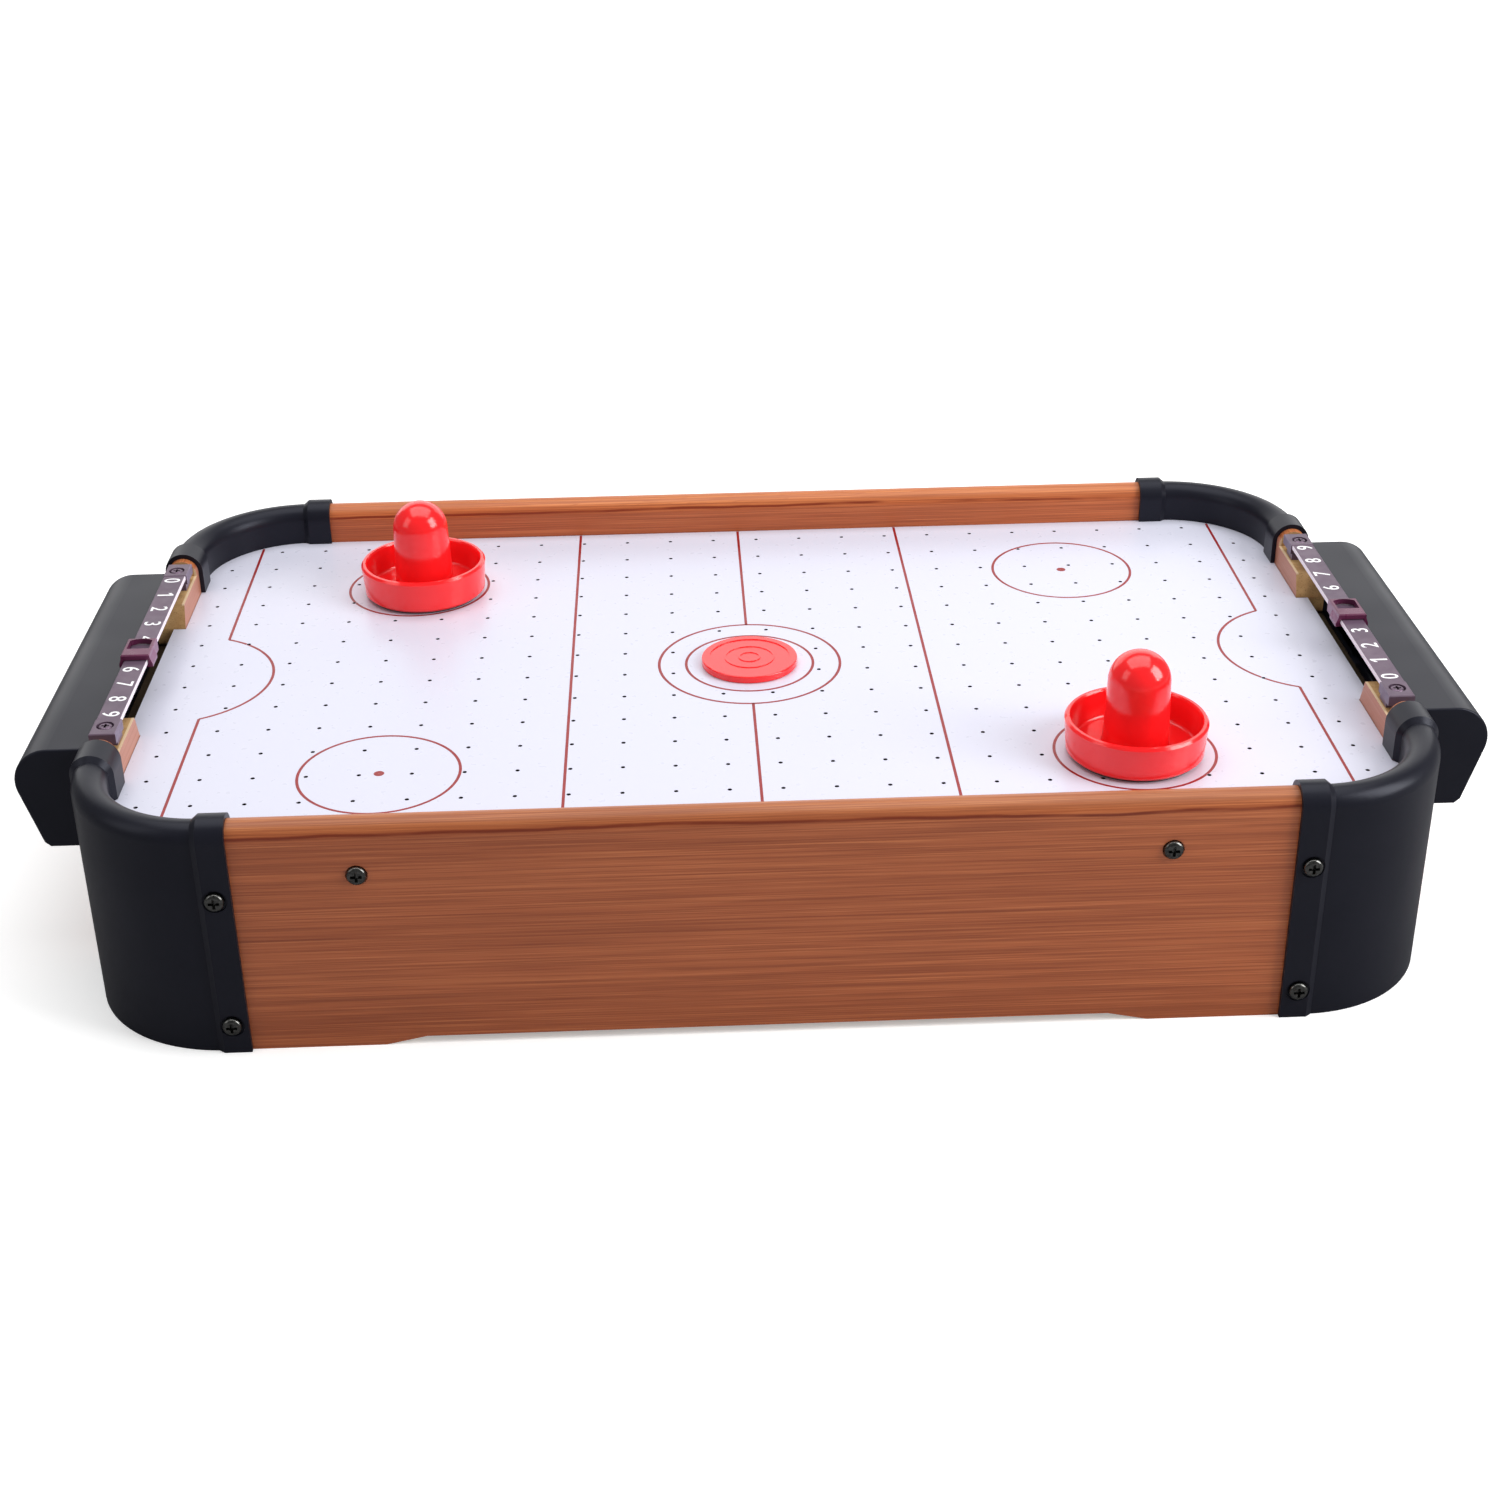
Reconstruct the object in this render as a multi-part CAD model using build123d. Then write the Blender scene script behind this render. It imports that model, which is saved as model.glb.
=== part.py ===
from build123d import *
import math
import os

# Table-top air hockey game, millimetres.
# Origin: centre of the footprint, on the surface the table stands on.
# +X along the length (right), +Y to the far side, +Z up.

os.makedirs("parts", exist_ok=True)

# ---------------------------------------------------------------- driving sizes
FIELD_Z = 77.0            # playing surface above the ground
FIELD_T = 8.0             # thickness of the playing board
INNER_X = 241.6           # inner faces of the end panels
INNER_Y = 142.6           # inner faces of the side panels
PANEL_T = 12.4            # panel thickness
RAIL_RISE = 16.5          # top of the rails above the playing surface
CORNER_X = 200.0          # centre of the rounded corners
CORNER_Y = 101.0
GOAL_HALF = 49.8          # half width of a goal at the playing surface
GOAL_HALF_TOP = 54.0      # half width of a goal at the shelf
SHELF_RISE = 9.8          # shelf of the end panel above the playing surface
NOTCH_HALF = 84.2         # half width of the shelf
FIT = 0.1                 # gap between neighbouring boards and mouldings
HOLE_PITCH = 20.0         # air holes
HOLE_D = 1.7
COLUMNS = 24
ROWS = 14
GRID_SHIFT_X = -1.7       # the drilled grid against the printed court
GRID_SHIFT_Y = 2.0

MID_R = PANEL_T / 2
RAIL_TOP = FIELD_Z + RAIL_RISE
RAIL_CZ = RAIL_TOP - MID_R
MID_X = INNER_X + MID_R
MID_Y = INNER_Y + MID_R
OUTER_X = INNER_X + PANEL_T
OUTER_Y = INNER_Y + PANEL_T
SHELF_Z = FIELD_Z + SHELF_RISE
BOARD_BOTTOM = FIELD_Z - FIELD_T
PLENUM_H = 12.0
FLOOR_T = 3.0
FLOOR_BOTTOM = BOARD_BOTTOM - PLENUM_H - FLOOR_T
FOOT_CUT = 3.2            # the long edges stand clear of the ground between the feet

SCREW_CLEAR = 0.05


# ---------------------------------------------------------------- helpers
def save(name, *shapes):
    """Write one node: one solid, or a group of separate equal solids."""
    solids = []
    for shape in shapes:
        solids.extend(shape.solids())
    body = solids[0] if len(solids) == 1 else Compound(children=solids)
    export_step(body, "parts/" + name + ".step")


def box_between(x0, x1, y0, y1, z0, z1):
    centre = ((x0 + x1) / 2, (y0 + y1) / 2, (z0 + z1) / 2)
    return Pos(*centre) * Box(abs(x1 - x0), abs(y1 - y0), abs(z1 - z0))


def cylinder_up(x, y, z0, z1, radius):
    return Pos(x, y, (z0 + z1) / 2) * Cylinder(radius, z1 - z0)


def cylinder_y(x, z, y0, y1, radius):
    return Pos(x, (y0 + y1) / 2, z) * Rot(90, 0, 0) * Cylinder(radius, abs(y1 - y0))


def cylinder_x(y, z, x0, x1, radius):
    return Pos((x0 + x1) / 2, y, z) * Rot(0, 90, 0) * Cylinder(radius, abs(x1 - x0))


def extrude_x(points, x0, x1):
    """Prism along X from (y, z) points."""
    outline = make_face(Polyline(*[(x0, p[0], p[1]) for p in points], close=True))
    return extrude(outline, amount=x1 - x0, dir=(1, 0, 0))


def extrude_y(points, y0, y1):
    """Prism along Y from (x, z) points."""
    outline = make_face(Polyline(*[(p[0], y0, p[1]) for p in points], close=True))
    return extrude(outline, amount=y1 - y0, dir=(0, 1, 0))


def half_turn(shape):
    """The same piece at the opposite end of the table."""
    return Rot(0, 0, 180) * shape


def bead_face(half, base, top):
    """Upright section of a rail: straight sides with a fully rounded top, in the XZ plane."""
    side = top - half
    left = Line((-half, 0, base), (-half, 0, side))
    over = ThreePointArc((-half, 0, side), (0, 0, top), (half, 0, side))
    right = Line((half, 0, side), (half, 0, base))
    under = Line((half, 0, base), (-half, 0, base))
    return make_face([left, over, right, under])


def bead_along_y(half, base, top, y0, y1, x=0.0):
    face = Pos(x, y0, 0) * bead_face(half, base, top)
    return extrude(face, amount=y1 - y0, dir=(0, 1, 0))


def bead_along_x(half, base, top, x0, x1, y=0.0):
    face = Pos(x0, y, 0) * Rot(0, 0, 90) * bead_face(half, base, top)
    return extrude(face, amount=x1 - x0, dir=(1, 0, 0))


def rounded_plate(half_x, half_y, radius, z0, z1):
    outline = Pos(0, 0, z0) * RectangleRounded(2 * half_x, 2 * half_y, radius)
    return extrude(outline, amount=z1 - z0, dir=(0, 0, 1))


def pan_screw(head_d, head_h, shank_d, length):
    """Cross-recess pan-head screw, seat at z = 0, shank down, head up."""
    head = Pos(0, 0, head_h / 2) * Cylinder(head_d / 2, head_h)
    rim = head.edges().filter_by(GeomType.CIRCLE).sort_by(Axis.Z)[-1]
    head = fillet(rim, head_h * 0.62)
    shank = cylinder_up(0, 0, -length + shank_d / 2, 0, shank_d / 2)
    tip = Pos(0, 0, -length + shank_d / 4) * Cone(0.2, shank_d / 2, shank_d / 2)
    screw = head + shank + tip
    deep = head_h * 0.75
    slot = Pos(0, 0, head_h - deep / 2 + 0.05) * Box(head_d * 0.56, head_d * 0.15, deep + 0.1)
    cross = slot + Rot(0, 0, 90) * slot
    return screw - cross


def toward_plus_y(x, y, z):
    """Screw whose head looks towards -Y."""
    return Pos(x, y, z) * Rot(90, 0, 0)


def toward_minus_y(x, y, z):
    """Screw whose head looks towards +Y."""
    return Pos(x, y, z) * Rot(-90, 0, 0)


def head_plus_x(x, y, z):
    """Screw whose head looks towards +X."""
    return Pos(x, y, z) * Rot(0, 90, 0)


def head_minus_x(x, y, z):
    """Screw whose head looks towards -X."""
    return Pos(x, y, z) * Rot(0, -90, 0)


def head_down(x, y, z):
    """Screw driven upwards from below."""
    return Pos(x, y, z) * Rot(180, 0, 0)


# ---------------------------------------------------------------- screw sizes and positions
CAP_HEAD_D = 7.2
CAP_HEAD_H = 2.4
CAP_SHANK = 3.0
CAP_SCREW_Z = (FIELD_Z - 12.0, FIELD_Z - 65.2)
CAP_SCREW_X = 196.0
CAP_SCREW_Y = 94.6
CUFF = 2.0                # the corner cuffs stand this far off the wood
SEAT_D = 9.0
SEAT_DEPTH = 0.7
PANEL_SCREW_X = 145.4
PANEL_SCREW_Z = FIELD_Z - FIELD_T / 2
SCORE_SCREW_Y = 73.8
BOX_SCREW_Y = 66.0
BOX_SCREW_Z = (52.0, 63.0)

cap_screw = pan_screw(CAP_HEAD_D, CAP_HEAD_H, CAP_SHANK, 11.0)
panel_screw = pan_screw(7.4, 2.2, 3.2, 26.0)
small_screw = pan_screw(5.4, 1.8, 2.4, 10.0)

SIDES = (-1, 1)


# ---------------------------------------------------------------- playing board
def inside_board(x, y, margin):
    """True where a hole keeps the margin to the rounded corner of the board."""
    past_x = abs(x) - CORNER_X
    past_y = abs(y) - CORNER_Y
    if past_x <= 0 or past_y <= 0:
        return True
    return math.hypot(past_x, past_y) < INNER_X - FIT - CORNER_X - margin


board = rounded_plate(INNER_X - 2 * FIT, INNER_Y - 2 * FIT, INNER_X - 2 * FIT - CORNER_X, BOARD_BOTTOM, FIELD_Z)
TAB_X = 246.6
tab_half = GOAL_HALF - 0.5
board += box_between(-TAB_X, TAB_X, -tab_half, tab_half, BOARD_BOTTOM, FIELD_Z)
hole_spots = []
for column in range(COLUMNS):
    for row in range(ROWS):
        hole_x = GRID_SHIFT_X + (column - (COLUMNS - 1) / 2) * HOLE_PITCH
        hole_y = GRID_SHIFT_Y + (row - (ROWS - 1) / 2) * HOLE_PITCH
        if inside_board(hole_x, hole_y, 3.0):
            hole_spots.append((hole_x, hole_y))
air_holes = [cylinder_up(x, y, BOARD_BOTTOM - 1, FIELD_Z + 1, HOLE_D / 2) for x, y in hole_spots]
board = board - air_holes
for side in SIDES:
    for x in (-PANEL_SCREW_X, PANEL_SCREW_X):
        y0 = side * (INNER_Y - 16)
        y1 = side * (INNER_Y + 1)
        board -= cylinder_y(x, PANEL_SCREW_Z, y0, y1, 1.6 + SCREW_CLEAR)
save("playing_board", board)


# ---------------------------------------------------------------- side panels (long)
PANEL_END_X = CORNER_X - 0.2
PANEL_END_Y = CORNER_Y - 0.5


def side_panel():
    """The front panel; the back one is the same piece turned round."""
    panel = bead_along_x(MID_R, 0, RAIL_TOP, -PANEL_END_X, PANEL_END_X, -MID_Y)
    foot = [(-141, -1), (141, -1), (141, 0), (126, FOOT_CUT), (-126, FOOT_CUT), (-141, 0)]
    panel -= extrude_y(foot, -OUTER_Y - 1, -INNER_Y + 1)
    for x in (-PANEL_SCREW_X, PANEL_SCREW_X):
        panel -= cylinder_y(x, PANEL_SCREW_Z, -OUTER_Y - 1, -INNER_Y + 1, 1.6 + SCREW_CLEAR)
        panel -= cylinder_y(x, PANEL_SCREW_Z, -OUTER_Y - 1, -OUTER_Y + 0.6, 4.0)
    for x in (-CAP_SCREW_X, CAP_SCREW_X):
        for z in CAP_SCREW_Z:
            panel -= cylinder_y(x, z, -OUTER_Y - 1, -OUTER_Y + 10.2, CAP_SHANK / 2 + SCREW_CLEAR)
    return panel


front_panel = side_panel()
save("side_panel_front", front_panel)
save("side_panel_back", half_turn(front_panel))


# ---------------------------------------------------------------- end panels (short, with the goals)
def end_panel():
    """The right-hand end panel with its goal and the shelf of the score bar."""
    panel = bead_along_y(MID_R, 0, RAIL_TOP, -PANEL_END_Y, PANEL_END_Y, MID_X)
    x0 = INNER_X - 1
    x1 = OUTER_X + 1
    panel -= box_between(x0, x1, -NOTCH_HALF, NOTCH_HALF, SHELF_Z, RAIL_TOP + 1)
    goal = [
        (-GOAL_HALF, BOARD_BOTTOM),
        (GOAL_HALF, BOARD_BOTTOM),
        (GOAL_HALF, FIELD_Z),
        (GOAL_HALF_TOP, SHELF_Z + 1),
        (-GOAL_HALF_TOP, SHELF_Z + 1),
        (-GOAL_HALF, FIELD_Z),
    ]
    panel -= extrude_x(goal, x0, x1)
    foot = [(-62, -1), (62, -1), (62, 0), (50, FOOT_CUT), (-50, FOOT_CUT), (-62, 0)]
    panel -= extrude_x(foot, x0, x1)
    for y in (-CAP_SCREW_Y, CAP_SCREW_Y):
        for z in CAP_SCREW_Z:
            panel -= cylinder_x(y, z, OUTER_X - 10.2, OUTER_X + 1, CAP_SHANK / 2 + SCREW_CLEAR)
    for y in (-SCORE_SCREW_Y, SCORE_SCREW_Y):
        panel -= cylinder_up(SCORE_X, y, SHELF_Z - 12, SHELF_Z + 1, 1.2 + SCREW_CLEAR)
    for y in (-BOX_SCREW_Y, BOX_SCREW_Y):
        for z in BOX_SCREW_Z:
            panel -= cylinder_x(y, z, x0, x1, 1.5 + SCREW_CLEAR)
    return panel


SCORE_X = 247.6
right_end = end_panel()
save("end_panel_right", right_end)
save("end_panel_left", half_turn(right_end))


# ---------------------------------------------------------------- corner caps
BODY_HALF = MID_R + 0.25          # the curved part runs flush with the wood
BODY_TOP = RAIL_TOP + 0.1
CUFF_HALF = MID_R + CUFF
CUFF_TOP = RAIL_TOP + CUFF
CAP_WALL = 2.0
CAP_SKIRT = FIELD_Z + 0.05        # the inner wall of a cap ends just above the board
RAMP = 3.0                        # sloped step from the cuff down to the curved part
CAP_START_X = 190.0
CAP_START_Y = 88.0


def ramp(place):
    """Sloped end of a cuff; place turns and moves it from the origin, where it runs along +Y."""
    wide = bead_face(CUFF_HALF, 0, CUFF_TOP)
    narrow = Pos(0, RAMP, 0) * bead_face(BODY_HALF - 0.6, 0, BODY_TOP - 0.6)
    return place * loft([wide, narrow])


def corner_cap():
    """The front right cap; the other three are the same piece turned or mirrored."""
    axis = Axis((CORNER_X, -CORNER_Y, 0), (0, 0, 1))
    outer_section = Pos(MID_X, -CORNER_Y, 0) * bead_face(BODY_HALF, 0, BODY_TOP)
    hollow_section = Pos(MID_X, -CORNER_Y, 0) * bead_face(BODY_HALF - CAP_WALL, -1, BODY_TOP - CAP_WALL)
    shell = revolve(outer_section, axis=axis, revolution_arc=-90)
    shell += bead_along_x(CUFF_HALF, 0, CUFF_TOP, CAP_START_X, CORNER_X, -MID_Y)
    shell += ramp(Pos(CORNER_X, -MID_Y, 0) * Rot(0, 0, -90))
    shell += bead_along_y(CUFF_HALF, 0, CUFF_TOP, -CORNER_Y, -CAP_START_Y, MID_X)
    shell += ramp(Pos(MID_X, -CORNER_Y, 0) * Rot(0, 0, 180))
    # hollows: the curve stays a shell, the cuffs take the panel ends
    shell -= revolve(hollow_section, axis=axis, revolution_arc=-90)
    shell -= bead_along_x(MID_R + FIT, -1, RAIL_TOP + FIT, CAP_START_X - 1, CORNER_X, -MID_Y)
    shell -= bead_along_y(MID_R + FIT, -1, RAIL_TOP + FIT, -CORNER_Y, -CAP_START_Y + 1, MID_X)
    # nothing of the cap reaches below the playing surface on the inside
    shell -= rounded_plate(INNER_X + 2.4, INNER_Y + 2.4, INNER_X + 2.4 - CORNER_X, -1, CAP_SKIRT)
    for z in CAP_SCREW_Z:
        cuff_face = OUTER_Y + CUFF
        shell -= cylinder_y(CAP_SCREW_X, z, -cuff_face - 1, -OUTER_Y + 1, CAP_SHANK / 2 + 0.2)
        shell -= cylinder_y(CAP_SCREW_X, z, -cuff_face - 1, -cuff_face + SEAT_DEPTH, SEAT_D / 2)
        cuff_face = OUTER_X + CUFF
        shell -= cylinder_x(-CAP_SCREW_Y, z, OUTER_X - 1, cuff_face + 1, CAP_SHANK / 2 + 0.2)
        shell -= cylinder_x(-CAP_SCREW_Y, z, cuff_face - SEAT_DEPTH, cuff_face + 1, SEAT_D / 2)
    return shell


cap_front_right = corner_cap()
cap_front_left = mirror(cap_front_right, about=Plane.YZ)
save("corner_cap_front_right", cap_front_right)
save("corner_cap_front_left", cap_front_left)
save("corner_cap_back_left", half_turn(cap_front_right))
save("corner_cap_back_right", half_turn(cap_front_left))

cap_screws = []
seat_y = OUTER_Y + CUFF - SEAT_DEPTH
seat_x = OUTER_X + CUFF - SEAT_DEPTH
for z in CAP_SCREW_Z:
    for sx in SIDES:
        cap_screws.append(toward_plus_y(sx * CAP_SCREW_X, -seat_y, z) * cap_screw)
        cap_screws.append(toward_minus_y(sx * CAP_SCREW_X, seat_y, z) * cap_screw)
        cap_screws.append(head_plus_x(seat_x, sx * CAP_SCREW_Y, z) * cap_screw)
        cap_screws.append(head_minus_x(-seat_x, sx * CAP_SCREW_Y, z) * cap_screw)
save("corner_cap_screws", *cap_screws)

panel_screws = []
for x in (-PANEL_SCREW_X, PANEL_SCREW_X):
    panel_screws.append(toward_plus_y(x, -OUTER_Y + 0.6, PANEL_SCREW_Z) * panel_screw)
    panel_screws.append(toward_minus_y(x, OUTER_Y - 0.6, PANEL_SCREW_Z) * panel_screw)
save("panel_screws", *panel_screws)


# ---------------------------------------------------------------- goal boxes
BOX_HALF = 83.2
BOX_TOP = FIELD_Z + 12.0
BOX_BOTTOM = FIELD_Z - 30.0
BOX_OUT = 282.6
BOX_WALL = 2.2


def box_profile(inset):
    """Side view of the goal box (x, z): flat top, big outer round, face sloping in to the floor."""
    top = BOX_TOP - inset
    out = BOX_OUT - inset
    floor = BOX_BOTTOM + inset
    x_in = OUTER_X + FIT if inset == 0 else OUTER_X - 5
    round_r = 14.0 - inset
    cx = out - round_r
    cz = top - round_r
    foot_x = 275.4 - inset * 1.05
    top_line = Line((x_in, 0, top), (cx, 0, top))
    # the sloping face meets the round tangentially
    dx = foot_x - cx
    dz = floor + 2.0 - cz
    reach = math.hypot(dx, dz)
    angle = math.atan2(dz, dx) + math.acos(round_r / reach)
    touch = (cx + round_r * math.cos(angle), 0, cz + round_r * math.sin(angle))
    middle_angle = (angle + math.pi / 2) / 2
    middle = (cx + round_r * math.cos(middle_angle), 0, cz + round_r * math.sin(middle_angle))
    over = ThreePointArc((cx, 0, top), middle, touch)
    slope = Line(touch, (foot_x, 0, floor + 2.0))
    corner = Line((foot_x, 0, floor + 2.0), (foot_x - 2.2, 0, floor))
    under = Line((foot_x - 2.2, 0, floor), (x_in, 0, floor))
    back = Line((x_in, 0, floor), (x_in, 0, top))
    return make_face([top_line, over, slope, corner, under, back])


def goal_box():
    """The right-hand goal box: a catcher tray with a hood, open to the goal and to the player."""
    outer = extrude(Pos(0, -BOX_HALF, 0) * box_profile(0), amount=2 * BOX_HALF, dir=(0, 1, 0))
    ends = outer.faces().filter_by(Axis.Y)
    rim = []
    for face in ends:
        rim.extend([e for e in face.edges() if e.center().X > OUTER_X + 1])
    outer = fillet(rim, 0.9)
    inner_half = BOX_HALF - BOX_WALL
    hollow = extrude(Pos(0, -inner_half, 0) * box_profile(BOX_WALL), amount=2 * inner_half, dir=(0, 1, 0))
    # back wall against the end panel, open above the goal floor
    wall_x = OUTER_X + FIT + 1.8
    hollow -= box_between(OUTER_X - 6, wall_x, -100, 100, 0, 200)
    shell = outer - hollow
    lip = BOARD_BOTTOM + 0.8
    shell -= box_between(OUTER_X - 1, wall_x + 1, -GOAL_HALF, GOAL_HALF, lip, BOX_TOP - BOX_WALL)
    shell -= box_between(OUTER_X - 1, wall_x + 1, -3, 9, lip - 5.0, lip + 1)
    # window for taking the puck out, in the face towards the player
    window = box_between(268, BOX_OUT + 5, -46, 46, 52.5, 70.0)
    window = fillet(window.edges().filter_by(Axis.X), 6.0)
    shell -= window
    for y in (-BOX_SCREW_Y, BOX_SCREW_Y):
        for z in BOX_SCREW_Z:
            shell += cylinder_x(y, z, wall_x - 0.5, wall_x + 7.0, 3.4)
            shell -= cylinder_x(y, z, OUTER_X - 1, wall_x + 6.2, 1.5 + SCREW_CLEAR)
    return shell


right_box = goal_box()
save("goal_box_right", right_box)
save("goal_box_left", half_turn(right_box))

box_screw = pan_screw(6.0, 2.0, 3.0, 19.0)
box_screws = []
for y in (-BOX_SCREW_Y, BOX_SCREW_Y):
    for z in BOX_SCREW_Z:
        placed = head_minus_x(INNER_X, y, z) * box_screw
        box_screws.append(placed)
        box_screws.append(half_turn(placed))
save("goal_box_screws", *box_screws)


# ---------------------------------------------------------------- score bars and their sliders
SCORE_TOP = FIELD_Z + 17.0
SCORE_HALF = 81.0
BLOCK_LEN = 12.9
BLOCK_T = 4.2
BAR_HALF = 4.7
BAR_T = 1.8
SLIDER_HALF = 5.8
SLIDER_LEN = 16.2
SLIDER_TOP = SCORE_TOP + 2.3
SLIDER_GAP = 0.3


def score_bar():
    """The right-hand bar: a slim flat rail between two end blocks that stand on the shelf."""
    x_in = SCORE_X - BAR_HALF
    x_out = SCORE_X + BAR_HALF
    block_y = SCORE_HALF - BLOCK_LEN
    under = SCORE_TOP - BAR_T
    bar = box_between(x_in, x_out, -block_y - 1, block_y + 1, under, SCORE_TOP - 0.25)
    long_edges = [e for e in bar.edges().filter_by(Axis.Y) if e.center().Z > SCORE_TOP - 1]
    bar = chamfer(long_edges, 0.3)
    bar += box_between(x_in + 3.0, x_out - 3.0, -block_y - 1, block_y + 1, under - 1.4, under)
    for s in SIDES:
        y0 = s * block_y
        y1 = s * SCORE_HALF
        block = box_between(x_in - 0.5, x_out + 0.2, y0, y1, SCORE_TOP - BLOCK_T, SCORE_TOP)
        block = chamfer(block.faces().sort_by(Axis.Z)[-1].edges(), 0.35)
        bar += block
        bar += box_between(x_in + 0.3, x_out - 0.4, y0, y1 - s * 4.5, SHELF_Z + 0.05, SCORE_TOP - 1)
    for y in (-SCORE_SCREW_Y, SCORE_SCREW_Y):
        bar -= cylinder_up(SCORE_X, y, SHELF_Z - 1, SCORE_TOP + 1, 1.2 + 0.15)
        bar -= cylinder_up(SCORE_X, y, SCORE_TOP - 1.5, SCORE_TOP + 1, 3.35)
    return bar


right_bar = score_bar()
save("score_bar_right", right_bar)
save("score_bar_left", half_turn(right_bar))

score_screw = pan_screw(5.5, 1.45, 2.4, 15.0)
score_screws = []
for y in (-SCORE_SCREW_Y, SCORE_SCREW_Y):
    placed = Pos(SCORE_X, y, SCORE_TOP - 1.5) * score_screw
    score_screws.append(placed)
    score_screws.append(half_turn(placed))
save("score_bar_screws", *score_screws)


def score_slider(x, y_low):
    """A collar round a bar at x, with a window that frames one number."""
    y_high = y_low + SLIDER_LEN
    base = SCORE_TOP - BAR_T - 1.3
    body = box_between(x - SLIDER_HALF, x + SLIDER_HALF, y_low, y_high, base, SLIDER_TOP)
    body = chamfer(body.faces().sort_by(Axis.Z)[-1].edges(), 0.5)
    # finger grips that swell out of the lower half of both sides
    for s in SIDES:
        grip = [
            (x + s * (SLIDER_HALF - 0.2), base),
            (x + s * (SLIDER_HALF + 0.9), base),
            (x + s * (SLIDER_HALF + 0.9), base + 1.3),
            (x + s * (SLIDER_HALF - 0.2), SLIDER_TOP - 1.0),
        ]
        body += extrude_y(grip, y_low, y_low + 9.0)
    # the channel that takes the bar, with a hook under each side
    body -= box_between(x - BAR_HALF - SLIDER_GAP, x + BAR_HALF + SLIDER_GAP, y_low - 1, y_high + 1,
                        SCORE_TOP - BAR_T - SLIDER_GAP, SCORE_TOP - 0.25 + SLIDER_GAP)
    body -= box_between(x - BAR_HALF + 1.3, x + BAR_HALF - 1.3, y_low - 1, y_high + 1,
                        base - 1, SCORE_TOP - BAR_T + 1)
    # the window, arched on its far side
    near = y_low + 6.2
    far = y_high - 2.4
    sill = SCORE_TOP - 1
    left = Line((x - 4.5, near, sill), (x - 4.5, far, sill))
    arch = ThreePointArc((x - 4.5, far, sill), (x, far + 1.6, sill), (x + 4.5, far, sill))
    right = Line((x + 4.5, far, sill), (x + 4.5, near, sill))
    front = Line((x + 4.5, near, sill), (x - 4.5, near, sill))
    body -= extrude(make_face([left, arch, right, front]), amount=SLIDER_TOP - sill + 1, dir=(0, 0, 1))
    return body


save("score_slider_right", score_slider(SCORE_X, -10.8))
save("score_slider_left", score_slider(-SCORE_X, -16.6))


# ---------------------------------------------------------------- puck
PLAY_GAP = 0.05
PUCK_R = 19.8
PUCK_T = 3.0


def puck():
    base = FIELD_Z + PLAY_GAP
    disc = cylinder_up(0, 0, base, base + PUCK_T, PUCK_R)
    disc = fillet(disc.edges().filter_by(GeomType.CIRCLE), 0.5)
    disc -= cylinder_up(0, 0, base + PUCK_T - 0.35, base + PUCK_T + 1, 16.6)
    for radius in (10.0, 4.3):
        ring = cylinder_up(0, 0, base + 1, base + PUCK_T - 0.05, radius + 0.35)
        ring -= cylinder_up(0, 0, base, base + PUCK_T, radius - 0.35)
        disc += ring
    return disc


save("puck", puck())


# ---------------------------------------------------------------- mallets
MALLET_R = 27.25
MALLET_H = 42.4
CUP_H = 15.2
CUP_WALL = 2.3
KNOB_R0 = 12.7
KNOB_R1 = 11.9
FELT_T = 1.0


def mallet(x, y):
    """One red moulding: an open cup with a domed grip in the middle, hollow from below."""
    z0 = FIELD_Z + PLAY_GAP + FELT_T
    top = FIELD_Z + PLAY_GAP + MALLET_H
    dome = top - KNOB_R1
    cup_top = FIELD_Z + PLAY_GAP + CUP_H
    floor = z0 + 2.6
    foot_r = MALLET_R - 0.9
    outline = [
        Line((0, 0, z0), (foot_r - 1.2, 0, z0)),
        Line((foot_r - 1.2, 0, z0), (foot_r, 0, z0 + 1.2)),
        Line((foot_r, 0, z0 + 1.2), (MALLET_R, 0, cup_top - 1.0)),
        Line((MALLET_R, 0, cup_top - 1.0), (MALLET_R - 0.8, 0, cup_top)),
        Line((MALLET_R - 0.8, 0, cup_top), (MALLET_R - CUP_WALL + 0.4, 0, cup_top)),
        Line((MALLET_R - CUP_WALL + 0.4, 0, cup_top), (MALLET_R - CUP_WALL, 0, cup_top - 0.8)),
        Line((MALLET_R - CUP_WALL, 0, cup_top - 0.8), (foot_r - CUP_WALL - 0.2, 0, floor + 1.5)),
        ThreePointArc(
            (foot_r - CUP_WALL - 0.2, 0, floor + 1.5),
            (foot_r - CUP_WALL - 0.64, 0, floor + 0.44),
            (foot_r - CUP_WALL - 1.7, 0, floor),
        ),
        Line((foot_r - CUP_WALL - 1.7, 0, floor), (KNOB_R0 + 1.5, 0, floor)),
        ThreePointArc(
            (KNOB_R0 + 1.5, 0, floor),
            (KNOB_R0 + 0.44, 0, floor + 0.44),
            (KNOB_R0, 0, floor + 1.5),
        ),
        Line((KNOB_R0, 0, floor + 1.5), (KNOB_R1, 0, dome)),
        ThreePointArc(
            (KNOB_R1, 0, dome),
            (KNOB_R1 * math.cos(math.pi / 4), 0, dome + KNOB_R1 * math.sin(math.pi / 4)),
            (0, 0, top),
        ),
        Line((0, 0, top), (0, 0, z0)),
    ]
    solid = revolve(make_face(outline), axis=Axis.Z)
    core_r = KNOB_R1 - 2.4
    core = cylinder_up(0, 0, z0 - 1, dome, core_r) + Pos(0, 0, dome) * Sphere(core_r)
    solid -= core
    return Pos(x, y, 0) * solid


def felt_pad(x, y):
    z0 = FIELD_Z + PLAY_GAP
    return cylinder_up(x, y, z0, z0 + FELT_T, MALLET_R - 3.0)


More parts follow.
